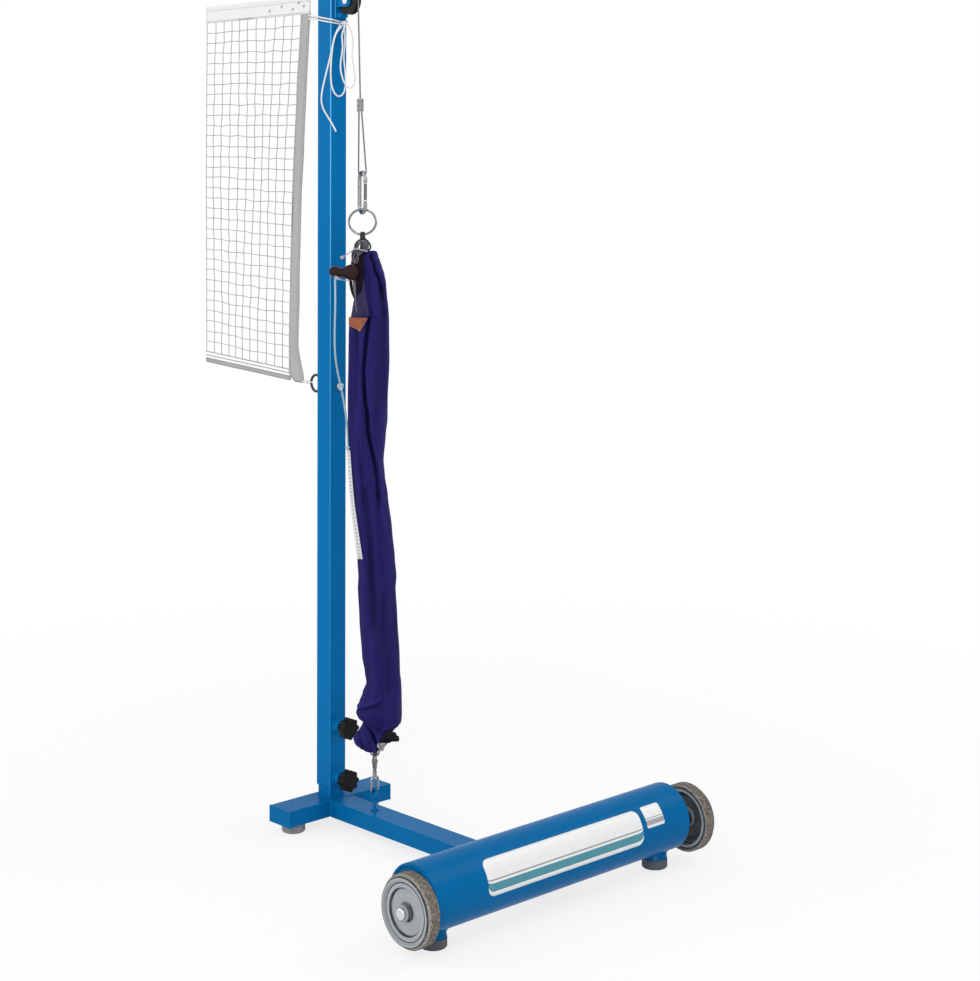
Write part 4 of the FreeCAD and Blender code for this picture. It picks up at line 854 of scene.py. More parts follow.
class OBJECT_OT_post_ties(bpy.types.Operator):
    """Tie the net's corners to the post: three turns, a bow with its tail, and the lower corner's cord"""
    bl_idname = "object.post_ties"
    bl_label = "Ties"

    def execute(self, context):
        white = tuple(context.scene.post_colours.cord)
        cord = twisted("tie cord", white, shade(white, 0.84), 120, 0.00015)
        knot = Form()
        overhand_knot(knot, beside(0.021, 0.017, 1.494), 0.0044, TIE_RADIUS)
        knot_piece = knot.make("bow_knot", "post", cord, "white_cord", ("tie_bow",))
        for name, places, length, end, node in (("bow_left", BOW_LEFT, 0.285, "object", "tie_bow"),
                                                ("bow_right", BOW_RIGHT, 0.255, "object", "tie_bow"),
                                                ("bow_tail", TAIL, 0.216, "bare", "tie_tail")):
            points = [beside(*point) for point in places]
            piece = finish_piece(cord_curve(name, points, TIE_RADIUS), "post", cord, (node,))
            tuple(points[0])
        for number, turn in enumerate(TIE_TURNS):
            piece = cord_curve("tie_turn_%d" % (number + 1), turn, TIE_RADIUS)
            finish_piece(piece, "post", cord, ("tie_cord",))
        self.corner(cord)
        return {"FINISHED"}

    def corner(self, cord):
        """Two strands from the net's corner through the wire eye, whipped beside the tape."""
        form = Form()
        start, eye = CORNER + Vector((-0.006, 0, 0.004)), Vector((-0.0605, 0, 0.815))
        for side, drop in ((-1, 0.001), (1, -0.002)):
            line = [start, start + Vector((0.006, side * 0.003, -0.001 + drop)),
                    eye + Vector((-0.006, side * 0.0034, drop)), eye + Vector((0.0002, side * 0.0036, drop)),
                    eye + Vector((0.0038, 0, drop * 0.5))]
            form.add_tube(curve_through(line, 8), LASHING_RADIUS, 8)
        for turn in range(4):
            middle = start + Vector((0.009 + turn * 0.0022, 0, 0))
            form.add_tube(ring(middle, Y * 0.0036, Z * 0.0026, 16), WHIPPING_RADIUS, 6, closed=True)
        form.make("corner_lashing", "post", cord, "white_cord", ("net_corner_tie",))


# Elastic above the sleeve: dark loops on the ring, greyer strands in them, black strands into the mouth,
# pale strands round them
DARK_LOOPS = (
    ((0.056, 0.079, 1.094), (0.0618, 0.08, 1.0935), (0.069, 0.083, 1.086), (0.0708, 0.086, 1.0785),
     (0.0665, 0.089, 1.0735), (0.06, 0.091, 1.069), (0.058, 0.092, 1.05)),
    ((0.058, 0.079, 1.092), (0.0635, 0.082, 1.087), (0.0655, 0.086, 1.079), (0.061, 0.09, 1.074),
     (0.055, 0.092, 1.068), (0.05, 0.093, 1.05)),
    ((0.055, 0.08, 1.093), (0.049, 0.082, 1.0915), (0.0436, 0.086, 1.0857), (0.042, 0.09, 1.079),
     (0.0415, 0.094, 1.07), (0.04, 0.0955, 1.058), (0.041, 0.095, 1.045)),
    ((0.06, 0.08, 1.09), (0.0545, 0.085, 1.085), (0.0535, 0.089, 1.077), (0.0575, 0.092, 1.07),
     (0.06, 0.092, 1.05)),
    ((0.0465, 0.089, 1.0855), (0.0448, 0.092, 1.0825), (0.0445, 0.094, 1.079), (0.046, 0.095, 1.075)))
GREY_LOOPS = (
    ((0.0555, 0.084, 1.0945), (0.0515, 0.088, 1.0885), (0.048, 0.092, 1.0815), (0.046, 0.094, 1.076)),
    ((0.0575, 0.086, 1.0935), (0.059, 0.09, 1.086), (0.0585, 0.093, 1.079), (0.0575, 0.095, 1.073)),
    ((0.0595, 0.086, 1.092), (0.0625, 0.09, 1.0865), (0.0625, 0.093, 1.08), (0.0605, 0.095, 1.0735)),
    ((0.0615, 0.086, 1.0905), (0.066, 0.09, 1.0855), (0.0665, 0.093, 1.08), (0.064, 0.095, 1.074)),
    ((0.043, 0.0945, 1.0745), (0.0475, 0.0965, 1.0655), (0.0425, 0.098, 1.0575), (0.039, 0.098, 1.051)),
    ((0.052, 0.0945, 1.0735), (0.0475, 0.0965, 1.0655), (0.0445, 0.0975, 1.0575), (0.042, 0.0975, 1.049)))
BLACK_STRANDS = (
    ((0.0405, 0.0925, 1.074), (0.0392, 0.093, 1.06), (0.0372, 0.093, 1.045), (0.0352, 0.0935, 1.028)),
    ((0.0445, 0.0925, 1.075), (0.0432, 0.0925, 1.06), (0.0412, 0.0925, 1.045), (0.0395, 0.093, 1.028)),
    ((0.0485, 0.0925, 1.0755), (0.0475, 0.092, 1.06), (0.0455, 0.092, 1.04), (0.0435, 0.0925, 1.02)),
    ((0.0615, 0.089, 1.07), (0.0595, 0.092, 1.05), (0.0565, 0.093, 1.03), (0.0535, 0.0935, 1.012),
     (0.0505, 0.093, 0.997), (0.049, 0.088, 0.98)),
    ((0.057, 0.091, 1.07), (0.0555, 0.0935, 1.05), (0.053, 0.0945, 1.03), (0.051, 0.095, 1.012),
     (0.0475, 0.0945, 0.997), (0.0465, 0.09, 0.982)),
    ((0.052, 0.093, 1.066), (0.0515, 0.094, 1.048), (0.0495, 0.095, 1.028), (0.0465, 0.096, 1.01),
     (0.0455, 0.095, 0.996), (0.045, 0.09, 0.98)),
    ((0.047, 0.094, 1.062), (0.0475, 0.0945, 1.045), (0.0455, 0.0945, 1.026), (0.044, 0.096, 1.008),
     (0.044, 0.094, 0.994)),
    ((0.041, 0.0945, 1.056), (0.0388, 0.0945, 1.042), (0.0345, 0.0945, 1.026), (0.035, 0.0955, 1.013),
     (0.0375, 0.096, 1.0), (0.043, 0.092, 0.986)),
    ((0.058, 0.094, 1.066), (0.0575, 0.0955, 1.05), (0.0545, 0.0965, 1.03), (0.0515, 0.0975, 1.01),
     (0.049, 0.097, 0.999)))
PALE_LOOPS = (
    ((0.0618, 0.081, 1.0968), (0.055, 0.084, 1.092), (0.0473, 0.089, 1.0865), (0.043, 0.094, 1.078),
     (0.038, 0.099, 1.073), (0.0365, 0.1, 1.064), (0.0385, 0.099, 1.052)),
    ((0.042, 0.095, 1.0805), (0.048, 0.098, 1.0775), (0.056, 0.098, 1.0745), (0.0625, 0.096, 1.0725)),
    ((0.0575, 0.094, 1.072), (0.05, 0.098, 1.0665), (0.0445, 0.1, 1.06), (0.0415, 0.1, 1.051)),
    ((0.04, 0.098, 1.0755), (0.042, 0.101, 1.068), (0.0395, 0.101, 1.059), (0.0425, 0.0995, 1.05)),
    ((0.0475, 0.097, 1.078), (0.0465, 0.1005, 1.069), (0.0485, 0.1, 1.059), (0.045, 0.099, 1.05)))
PALE_TAIL = (
    (0.0455, 0.096, 1.0775), (0.0395, 0.099, 1.0755), (0.034, 0.102, 1.072), (0.0273, 0.104, 1.0675),
    (0.0215, 0.104, 1.0635), (0.0165, 0.104, 1.0602))
PALE_STRAND = (
    (0.0385, 0.102, 1.0772), (0.0445, 0.103, 1.0775), (0.0535, 0.102, 1.0752), (0.0615, 0.1, 1.0735),
    (0.065, 0.097, 1.0725))
PALE_END = (
    (0.041, 0.0965, 1.0205), (0.0412, 0.099, 1.012), (0.042, 0.1, 1.0), (0.043, 0.1, 0.99),
    (0.0437, 0.1, 0.978), (0.046, 0.1, 0.9605))


class OBJECT_OT_post_line(bpy.types.Operator):
    """Finish the wire line: its pressed ferrule, the ring's clip and the elastic above the sleeve"""
    bl_idname = "object.post_line"
    bl_label = "Line and ferrule"

    def execute(self, context):
        self.ferrule()
        self.ring_clip()
        self.elastic()
        self.rivets()
        return {"FINISHED"}

    def ferrule(self):
        """Three ribs side by side, pressed at two heights."""
        half_width, half_depth, sides = 0.0063, 0.0038, 36
        rows = []
        for share, place in centre_steps("ferrule", 24):
            press = 1 - 0.1 * hump(share - 0.3, 0.05) - 0.1 * hump(share - 0.7, 0.05)
            scale = press * (0.86 + 0.14 * smooth(0, 0.05, min(share, 1 - share)))
            row = []
            for angle in angles(sides):
                across = math.cos(angle)
                rib = 1 - 0.2 * math.cos(across * 3 * math.pi) * abs(math.sin(angle))
                offset = RIGHT * half_width * across + TOWARD * half_depth * math.sin(angle) * rib
                row.append(place + offset * scale)
            rows.append(row)
        form = Form().add_body(rows, spaced(0.001, 1 / sides))
        pressed = zinc("pressed zinc", (0.27, 0.27, 0.27))
        form.make("ferrule_sleeve", "post", pressed, "zinc_steel", ("ferrule",))

    def ring_clip(self):
        """A black clip of round-cornered section on the ring."""
        half_width, half_depth, sides = 0.0048, 0.0054, 24
        rows = []
        for share, place in centre_steps("sleeve_tie_block", 12):
            scale = 0.7 + 0.3 * smooth(0, 0.2, min(share, 1 - share))
            row = []
            for angle in angles(sides):
                a, b = math.cos(angle), math.sin(angle)
                square = max(abs(a), abs(b)) ** 0.6
                row.append(place + (RIGHT * a * half_width + TOWARD * b * half_depth) * scale / square)
            rows.append(row)
        form = Form().add_body(rows, spaced(0.001, 1 / sides))
        black = moulded("black clip", (0.02, 0.02, 0.022))
        form.make("ring_clip", "post", black, "black_plastic", ("sleeve_tie_block",))

    def elastic(self):
        """Loops of elastic at the clip that go down into the sleeve."""
        dark = twisted("dark elastic", (0.09, 0.085, 0.095), (0.02, 0.018, 0.024), 150)
        black = twisted("black elastic", (0.022, 0.016, 0.03), (0.004, 0.003, 0.006), 170)
        grey = twisted("grey strand", (0.24, 0.22, 0.24), (0.06, 0.05, 0.06), 140)
        pale = twisted("pale elastic", (0.26, 0.24, 0.27), (0.06, 0.05, 0.07), 140)
        for name, finish, size, places in (("elastic_loops", dark, 0.0017, DARK_LOOPS),
                                           ("elastic_filling", grey, 0.0016, GREY_LOOPS),
                                           ("elastic_strands", black, 0.0029, BLACK_STRANDS),
                                           ("elastic_knot", pale, 0.0011, PALE_LOOPS)):
            form = Form()
            for strand in places:
                form.add_tube(route(strand), size, 9)
            form.make(name, "post", finish, "dark_cord")
        path = route(PALE_TAIL, 10)
        tail = Form().add_tube(path, tapered(path, 0.0011, 0.0022, 0.76, 0.86), 10)
        tail.add_tube(route(PALE_STRAND, 10), 0.0012, 9)
        bright = twisted("bright elastic", (0.62, 0.62, 0.68), (0.3, 0.28, 0.33), 140)
        tail.make("elastic_tail", "post", bright, "dark_cord")
        path = route(PALE_END, 10)
        end = Form().add_tube(path, tapered(path, 0.0029, -0.0017, 0.3, 0.7), 10)
        end.make("elastic_end", "post", pale, "dark_cord")

    def rivets(self):
        """Domed rivet heads at the foot of the hook's gate."""
        low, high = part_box("upper_hook_gate")
        middle = (low + high) / 2
        middle.z = low.z + 0.003
        dome, sides = ((0.0, 0.0042), (0.0012, 0.004), (0.0021, 0.0033), (0.0024, 0.0022)), 16
        form = Form()
        for side in (-1, 1):
            rows = [ring(middle + TOWARD * side * out, RIGHT * reach, Z * reach, sides)
                    for reach, out in dome]
            form.add_grid(rows, spaced(0.001, 1 / sides), wrap=True, flip=side > 0)
        form.make("gate_rivets", "hook_gate", zinc("bright rivet", (0.7, 0.7, 0.71)), "chrome")


# The cloth sleeve: height, left edge, right edge, middle's depth, half depth
SLEEVE = (
    (1.0728, 0.0625, 0.0795, 0.0875, 0.008), (1.0705, 0.0595, 0.0822, 0.087, 0.013),
    (1.0636, 0.0575, 0.0845, 0.0865, 0.016), (1.055, 0.056, 0.088, 0.086, 0.018),
    (1.044, 0.0568, 0.0918, 0.086, 0.02), (1.03, 0.0592, 0.0965, 0.086, 0.021),
    (1.01, 0.0618, 0.0995, 0.0865, 0.0225), (0.9955, 0.0612, 0.101, 0.087, 0.023),
    (0.983, 0.0622, 0.1022, 0.087, 0.023), (0.9734, 0.064, 0.1035, 0.087, 0.023),
    (0.9636, 0.0662, 0.1045, 0.0875, 0.023), (0.955, 0.068, 0.105, 0.0877, 0.023),
    (0.9528, 0.036, 0.105, 0.0878, 0.023), (0.949, 0.0336, 0.1053, 0.0878, 0.023),
    (0.9365, 0.0318, 0.1055, 0.088, 0.023), (0.918, 0.031, 0.1056, 0.088, 0.023),
    (0.87, 0.0305, 0.1062, 0.088, 0.024), (0.8, 0.0295, 0.103, 0.089, 0.024),
    (0.765, 0.0295, 0.1028, 0.0895, 0.024), (0.735, 0.0295, 0.0995, 0.09, 0.023),
    (0.688, 0.0315, 0.0955, 0.09, 0.022), (0.66, 0.034, 0.098, 0.09, 0.022),
    (0.625, 0.0375, 0.1035, 0.09, 0.023), (0.56, 0.0425, 0.1115, 0.091, 0.024),
    (0.51, 0.0475, 0.1165, 0.0915, 0.025), (0.475, 0.0495, 0.1195, 0.092, 0.025),
    (0.455, 0.0485, 0.118, 0.0922, 0.025), (0.4, 0.0515, 0.1212, 0.093, 0.025),
    (0.33, 0.0565, 0.1255, 0.094, 0.025), (0.3, 0.0615, 0.1262, 0.0945, 0.024),
    (0.281, 0.0645, 0.1285, 0.095, 0.023), (0.262, 0.0575, 0.1292, 0.0955, 0.025),
    (0.245, 0.0515, 0.1294, 0.096, 0.028), (0.226, 0.0456, 0.1296, 0.096, 0.028),
    (0.218, 0.0495, 0.1294, 0.0965, 0.025), (0.2095, 0.0585, 0.1285, 0.097, 0.021),
    (0.203, 0.0562, 0.124, 0.097, 0.021), (0.196, 0.052, 0.116, 0.097, 0.022),
    (0.19, 0.047, 0.111, 0.097, 0.024), (0.1806, 0.0402, 0.1035, 0.097, 0.026),
    (0.172, 0.0425, 0.097, 0.097, 0.025), (0.1655, 0.0505, 0.0915, 0.097, 0.021),
    (0.1595, 0.059, 0.088, 0.097, 0.016), (0.1555, 0.0675, 0.0855, 0.097, 0.009))
# Creases of the sleeve's front: places (height, right), depth, half width to the left and to the right, lip
CREASES = (
    (((1.071, 0.0727), (1.0618, 0.071), (1.0526, 0.0755), (1.038, 0.0781), (1.023, 0.0854), (1.01, 0.089),
     (0.99, 0.0912)), 0.0075, 0.0024, 0.0034, 0.0025),
    (((0.953, 0.0696), (0.942, 0.0674), (0.9255, 0.0655), (0.911, 0.0636), (0.89, 0.0618), (0.854, 0.0581),
     (0.826, 0.06), (0.798, 0.0618), (0.78, 0.0654), (0.752, 0.0672), (0.725, 0.0708), (0.703, 0.0763),
     (0.679, 0.0817), (0.651, 0.0854), (0.61, 0.088)), 0.0085, 0.0034, 0.0022, 0.0022),
    (((1.01, 0.0945), (0.95, 0.0965), (0.9, 0.0968), (0.835, 0.0955), (0.79, 0.093)),
     0.0036, 0.0058, 0.0045, 0.0),
    (((0.927, 0.0454), (0.88, 0.0462), (0.84, 0.0455), (0.79, 0.044)), 0.0022, 0.0024, 0.004, 0.0008),
    (((0.74, 0.047), (0.69, 0.052), (0.64, 0.056), (0.6, 0.058)), 0.0022, 0.0026, 0.0026, 0.0006),
    (((0.64, 0.062), (0.6, 0.066), (0.55, 0.0705), (0.5, 0.0735), (0.44, 0.077), (0.38, 0.079)),
     0.0042, 0.0075, 0.0045, 0.0008),
    (((0.6, 0.085), (0.57, 0.0915), (0.54, 0.098), (0.52, 0.1)), 0.0018, 0.0018, 0.0022, 0.0008),
    (((0.45, 0.096), (0.38, 0.099), (0.31, 0.103), (0.26, 0.106)), 0.0022, 0.006, 0.006, 0.0),
    (((0.4, 0.116), (0.33, 0.12), (0.26, 0.12)), 0.0016, 0.0022, 0.0022, 0.0006),
    (((0.2105, 0.058), (0.205, 0.0655), (0.1985, 0.072), (0.19, 0.077), (0.176, 0.0835), (0.163, 0.0855)),
     0.0075, 0.0026, 0.0022, 0.002),
    (((0.2065, 0.0745), (0.202, 0.084), (0.1965, 0.093)), 0.004, 0.004, 0.004, 0.001),
    (((0.198, 0.0505), (0.18, 0.0535), (0.165, 0.0605)), 0.003, 0.003, 0.003, 0.001),
    (((0.197, 0.1), (0.188, 0.0945), (0.178, 0.09), (0.168, 0.088)), 0.0018, 0.0024, 0.0026, 0.001))
# The inner cloth in the mouth: its left and right edge (height, right), and its foot and height
LINING_LEFT = (
    (1.046, 0.0553), (1.0157, 0.0543), (0.9985, 0.0527), (0.9925, 0.0447), (0.983, 0.0402),
    (0.9715, 0.0382), (0.9605, 0.0364), (0.949, 0.034))
LINING_RIGHT = (
    (1.046, 0.06), (1.03, 0.0628), (1.008, 0.0652), (0.9955, 0.0648), (0.983, 0.0656), (0.9734, 0.0676),
    (0.9636, 0.0698), (0.95, 0.072))
LINING_FOOT, LINING_HEIGHT, LINING_DEPTH = 0.95, 0.096, 0.098
# The sleeve's top and foot, and the height below which it is whole
SLEEVE_TOP, SLEEVE_FOOT = SLEEVE[0][0], 0.1555
WHOLE_BELOW = 0.948
# The lower snap's cast neck: height, half width and half depth
SNAP_TAPER = (
    (0.1135, 0.0016, 0.0016), (0.118, 0.0021, 0.002), (0.127, 0.0034, 0.0024), (0.135, 0.0052, 0.0026),
    (0.1395, 0.0058, 0.0024), (0.141, 0.0045, 0.0014))
# The dark frill at the sleeve's foot: places (right, height) along its root and its edge
FRILL_INNER = ((0.1055, 0.2005), (0.097, 0.1925), (0.09, 0.1855), (0.086, 0.1775), (0.0835, 0.169))
FRILL_OUTER = ((0.1095, 0.1995), (0.1235, 0.183), (0.1215, 0.177), (0.109, 0.176), (0.094, 0.1655))
CLOTH = 0.0009
# The pressed hollow at the sleeve's slack foot: its height, its right end and its slope
HOLLOW_HEIGHT, HOLLOW_RIGHT, HOLLOW_SLOPE = 0.2357, 0.0527, 0.4


def sleeve_row(height):
    """The sleeve's edges and depth at a height, eased between the rows of the table."""
    for high, low in zip(SLEEVE, SLEEVE[1:]):
        if height >= low[0]:
            share = (height - low[0]) / (high[0] - low[0])
            share = 0.4 * share + 0.6 * share * share * (3 - 2 * share)
            return [b + (a - b) * share for a, b in zip(high[1:], low[1:])]
    return SLEEVE[-1][1:]


def cloth_push(height, angle, sizes):
    """How far the cloth stands out of the plain outline: its long folds and its pressed creases."""
    left, right, _, _ = sleeve_row(height)
    across, over = math.cos(angle), math.sin(angle)
    wander = noise.noise(Vector((7.0, 1.0, height * 5)))
    folds = 0.6 * math.cos(5 * angle + 3 * wander + height * 4)
    folds += 0.5 * math.cos(9 * angle - 5 * wander + height * 7)
    folds += 0.7 * noise.noise(Vector((across * 3, over * 3, height * 11)))
    push = sizes.folds * folds * abs(over) ** 0.6
    if over <= 0:
        return push
    place = (left + right) / 2 + (right - left) / 2 * across
    front = smooth(0.0, 0.35, over)
    for points, deep, wide_left, wide_right, lip in CREASES:
        top, foot = points[0][0], points[-1][0]
        if foot - 0.02 < height < top + 0.01:
            fade = front * smooth(foot - 0.02, foot + 0.02, height) * smooth(top + 0.01, top - 0.008, height)
            off = place - along(points, height)
            push -= deep * sizes.creases * fade * hump(off, wide_left if off < 0 else wide_right)
            push += lip * fade * hump(off - 2.4 * wide_right, wide_right)
    above = height - HOLLOW_HEIGHT - HOLLOW_SLOPE * (place - HOLLOW_RIGHT)
    side = smooth(0.1, 0.082, place)
    push -= 0.0042 * side * hump(above, 0.0016 if above > 0 else 0.0045)
    return push + 0.003 * side * hump(above - 0.0055, 0.004)


def sleeve_point(height, angle, sizes, lift=0.0):
    """A point of the cloth's outside, or of its inside with a lift below nothing."""
    left, right, depth, half_depth = sleeve_row(height)
    across, over = math.cos(angle), math.sin(angle)
    flat = abs(over) ** 0.75 * (1 if over > 0 else -1)
    outward = RIGHT * across * 0.9 + TOWARD * over
    base = beside((left + right) / 2 + (right - left) / 2 * across, depth + half_depth * flat, height)
    return base + outward.normalized() * (cloth_push(height, angle, sizes) + lift)


def angle_at(place, height):
    """The angle round the sleeve's front at which the cloth lies this far to the right."""
    left, right, _, _ = sleeve_row(height)
    share = (place - (left + right) / 2) / ((right - left) / 2)
    return math.acos(min(1.0, max(-1.0, share)))


def on_front(right, height, sizes, lift):
    """A point over the whole part of the sleeve's front, carried up past the mouth's foot."""
    sound = min(height, WHOLE_BELOW)
    point = sleeve_point(sound, angle_at(right, sound), sizes, lift)
    point.z += height - sound
    return point


# The leather patch: its tip and height, its height above the cloth and its thickness
PATCH_TIP, PATCH_HEIGHT, PATCH_LIFT, PATCH_THICK = 0.9265, 0.0258, 0.0022, 0.0016


def patch_edges(share):
    """The patch's left and right edge at a share of its height, up from its tip."""
    return 0.0518 - 0.0185 * smooth(0.0, 0.44, share), 0.0528 + 0.0137 * share


class OBJECT_OT_post_sleeve(bpy.types.Operator):
    """Hang the gathered cloth sleeve round the elastic, with its lining, leather patch and frayed foot"""
    bl_idname = "object.post_sleeve"
    bl_label = "Sleeve"

    def execute(self, context):
        sizes = context.scene.sleeve_sizes
        self.cloth(sizes, sleeve_cloth("sleeve cloth", tuple(context.scene.post_colours.sleeve)))
        self.lining()
        self.patch(sizes)
        self.snap_end()
        self.elastic()
        self.frill()
        return {"FINISHED"}

    def cloth(self, sizes, finish):
        around, flat_width = 160, 0.22
        close_step, wide_step = 0.0016, 0.0032
        heights = []
        height = SLEEVE_TOP
        while height > SLEEVE_FOOT:
            heights.append(height)
            close = height > 1.05 or height < 0.27 or 0.945 < height < 0.965
            height -= close_step if close else wide_step
        heights.append(SLEEVE_FOOT)
        outside, inside = ([[sleeve_point(height, angle, sizes, lift) for angle in angles(around)]
                            for height in heights] for lift in (0.0, -CLOTH))

        def layout(row, place):
            return heights[row], place * flat_width / around
        form = Form()
        form.add_grid(outside, layout, wrap=True, flip=True)
        form.add_grid(inside, layout, wrap=True)
        form.add_grid([outside[0], inside[0]], layout, wrap=True)
        form.add_grid([outside[-1], inside[-1]], layout, wrap=True, flip=True)
        piece = form.make("cloth_sleeve", None, finish, "blue_cloth", ("sleeve",))
        # Painted shade and highlight: a grey colour attribute, dark where the folds and creases push the
        # cloth in and pale where they push it out.
        shades = piece.data.color_attributes.new("fold_shading", "FLOAT_COLOR", "POINT")
        for number, corner in enumerate(piece.data.vertices):
            height = min(corner.co.z, SLEEVE_TOP)
            angle = angle_at(corner.co.dot(RIGHT), height)
            front = corner.co.dot(TOWARD) > sleeve_row(height)[2]
            raised = 0.5 + cloth_push(height, angle if front else -angle, sizes) * 85
            shades.data[number].color = [min(1.0, max(0.0, raised))] * 3 + [1.0]
        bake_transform(piece)
        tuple(STRETCH_FOOT)
        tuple(STRETCH_TOP)

    def lining(self):
        """The pale inner cloth that shows in the mouth."""
        def point(up, share):
            height = LINING_FOOT + LINING_HEIGHT * up
            first, last = along(LINING_LEFT, height), along(LINING_RIGHT, height)
            at = first + (last - first) * share
            sway = 0.0014 * math.sin(at * 420 + height * 90)
            drawn = 0.006 * smooth(0.25, 0.0, share) + 0.006 * smooth(0.99, 1.04, height)
            return beside(at, LINING_DEPTH + sway - drawn, height)
        form = Form().add_sheet(grid(48, 14, point), 0.0008, spaced(0.002, 0.0018))
        finish = woven("lining", (0.075, 0.06, 0.145), (0.03, 0.024, 0.075), 0.0014)
        piece = form.make("sleeve_lining", "post", finish, "blue_cloth", rounding=1)

    def patch(self, sizes):
        """A leather patch sewn over the foot of the mouth."""
        def point(up, share):
            first, last = patch_edges(up)
            return on_front(first + (last - first) * share, PATCH_TIP + PATCH_HEIGHT * up, sizes, PATCH_LIFT)
        form = Form().add_sheet(grid(16, 12, point), PATCH_THICK, spaced(0.0016, 0.0026))
        leather = hide("tan leather", (0.31, 0.097, 0.042))
        form.make("leather_patch", "post", leather, "maroon_leather", rounding=1)
        stitches = Form()
        count, inset = 9, 0.0016
        for step in range(count):
            share = (step + 0.5) / count
            first, last = patch_edges(share)
            for at in (first + inset, last - inset):
                foot = 0.928 + 0.0225 * share
                points = [on_front(at, foot + rise, sizes, 0.0032) for rise in (0, 0.0008, 0.0016)]
                stitches.add_tube(points, 0.0006, 5)
        thread = twisted("pale thread", (0.7, 0.6, 0.5), (0.4, 0.33, 0.26), 500)
        stitches.make("patch_stitches", "post", thread, "white_cord")

    def snap_end(self):
        """The elastic's end strands in the snap's eye, and the snap's cast neck."""
        strands = Form()
        for side in (-1, 1):
            line = [Vector((SNAP_X + side * 0.0015, side * 0.0006, 0.1435)),
                    Vector((SNAP_X + side * 0.0034, side * 0.001, 0.1475)),
                    beside(0.08 + side * 0.008, 0.097, 0.155), beside(0.078 + side * 0.007, 0.096, 0.19)]
            strands.add_tube(curve_through(line, 8), 0.0014, 8)
        loop = ring(Vector((SNAP_X, 0, 0.1462)), Vector((0.0032, 0, 0)), Vector((0, 0.0012, 0.0028)), 20)
        strands.add_tube(loop, 0.0011, 8, closed=True)
        rings = [ring(Vector((SNAP_X, 0, height)), RIGHT * wide, TOWARD * thick, 20)
                 for height, wide, thick in SNAP_TAPER]
        neck = Form().add_body(rings, spaced(0.003, 0.001))
        neck.make("snap_taper", "snap_swivel", zinc("cast zinc", (0.16, 0.155, 0.15)), "chrome")
        grey = twisted("grey elastic", (0.3, 0.3, 0.31), (0.1, 0.1, 0.11), 150)
        strands.make("elastic_foot", "base", grey, "dark_cord")

    def elastic(self):
        """Three cords that wind round each other inside the sleeve."""
        core = Form()
        top, low = beside(0.0563, 0.0835, 1.09), Vector((SNAP_X, 0, 0.1495))
        radius, wind, turns, steps = 0.0027, 0.0028, 40, 120
        for lead in angles(3):
            line = []
            for step in range(steps + 1):
                share = step / steps
                angle = share * turns + lead
                swing = RIGHT * math.cos(angle) + TOWARD * math.sin(angle)
                line.append(top.lerp(low, share) + swing * wind)
            core.add_tube(line, radius, 8)
        finish = twisted("elastic cord", (0.16, 0.16, 0.17), (0.05, 0.05, 0.055), 150)
        piece = core.make("elastic_bundle", None, finish, "dark_cord", ("elastic_cord",))
        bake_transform(piece)
        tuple(STRETCH_FOOT)
        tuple(STRETCH_TOP)

    def frill(self):
        """A frill of dark netting at the sleeve's foot and the pale knot under it."""
        inner, outer = (curve_through([Vector((*spot, 0)) for spot in table], 15)
                        for table in (FRILL_INNER, FRILL_OUTER))
        rows, steps, depth, rolled = [], 8, 0.108, 0.012
        for line in range(steps + 1):
            out = line / steps
            row = []
            for place, (near, far) in enumerate(zip(inner, outer)):
                wave = 0.003 * out * math.sin(place * 0.75) + 0.002 * out * math.sin(place * 0.3 + 1)
                spot = near.lerp(far, out)
                rise = 0.0016 * out * math.sin(place * 0.9)
                row.append(beside(spot.x, depth + wave + rolled * (1 - out), spot.y + rise))
            rows.append(row)
        form = Form().add_sheet(rows, 0.0009, spaced(0.0016, 0.0012))
        netting = woven("dark netting", (0.03, 0.024, 0.032), (0.006, 0.005, 0.007), 0.0016)
        piece = form.make("foot_frill", "base", netting, "blue_cloth")
        knot = Form()
        overhand_knot(knot, beside(0.0915, 0.1205, 0.1715), 0.0066, 0.0023)
        pale = twisted("pale elastic end", (0.5, 0.5, 0.49), (0.2, 0.2, 0.2), 140)
        knot.make("foot_knot", "base", pale, "dark_cord")


# The toggle: place to the right, rise, half height, half depth
TOGGLE = (
    (-0.0055, 0.001, 0.0015, 0.0012), (-0.004, 0.0012, 0.0045, 0.0035), (-0.0005, 0.0014, 0.0078, 0.006),
    (0.004, 0.0014, 0.0096, 0.0074), (0.009, 0.001, 0.0092, 0.0074), (0.0135, 0.0, 0.008, 0.0066),
    (0.0175, -0.0006, 0.0076, 0.006), (0.022, -0.0002, 0.0092, 0.0064), (0.0275, 0.0002, 0.0122, 0.0074),
    (0.034, 0.0, 0.0146, 0.008), (0.04, -0.0003, 0.014, 0.0078), (0.0445, -0.0004, 0.011, 0.006),
    (0.0475, 0.0, 0.006, 0.004), (0.049, 0.0, 0.002, 0.0015))
TOGGLE_OUT, TOGGLE_HEIGHT = 0.1058, 1.035
# The pale stop that hangs over the toggle's foot
TOGGLE_STOP = (
    (0.006, 0.112, 1.0275), (0.0105, 0.1135, 1.0245), (0.016, 0.1135, 1.0225), (0.024, 0.1125, 1.0205),
    (0.033, 0.111, 1.0205))


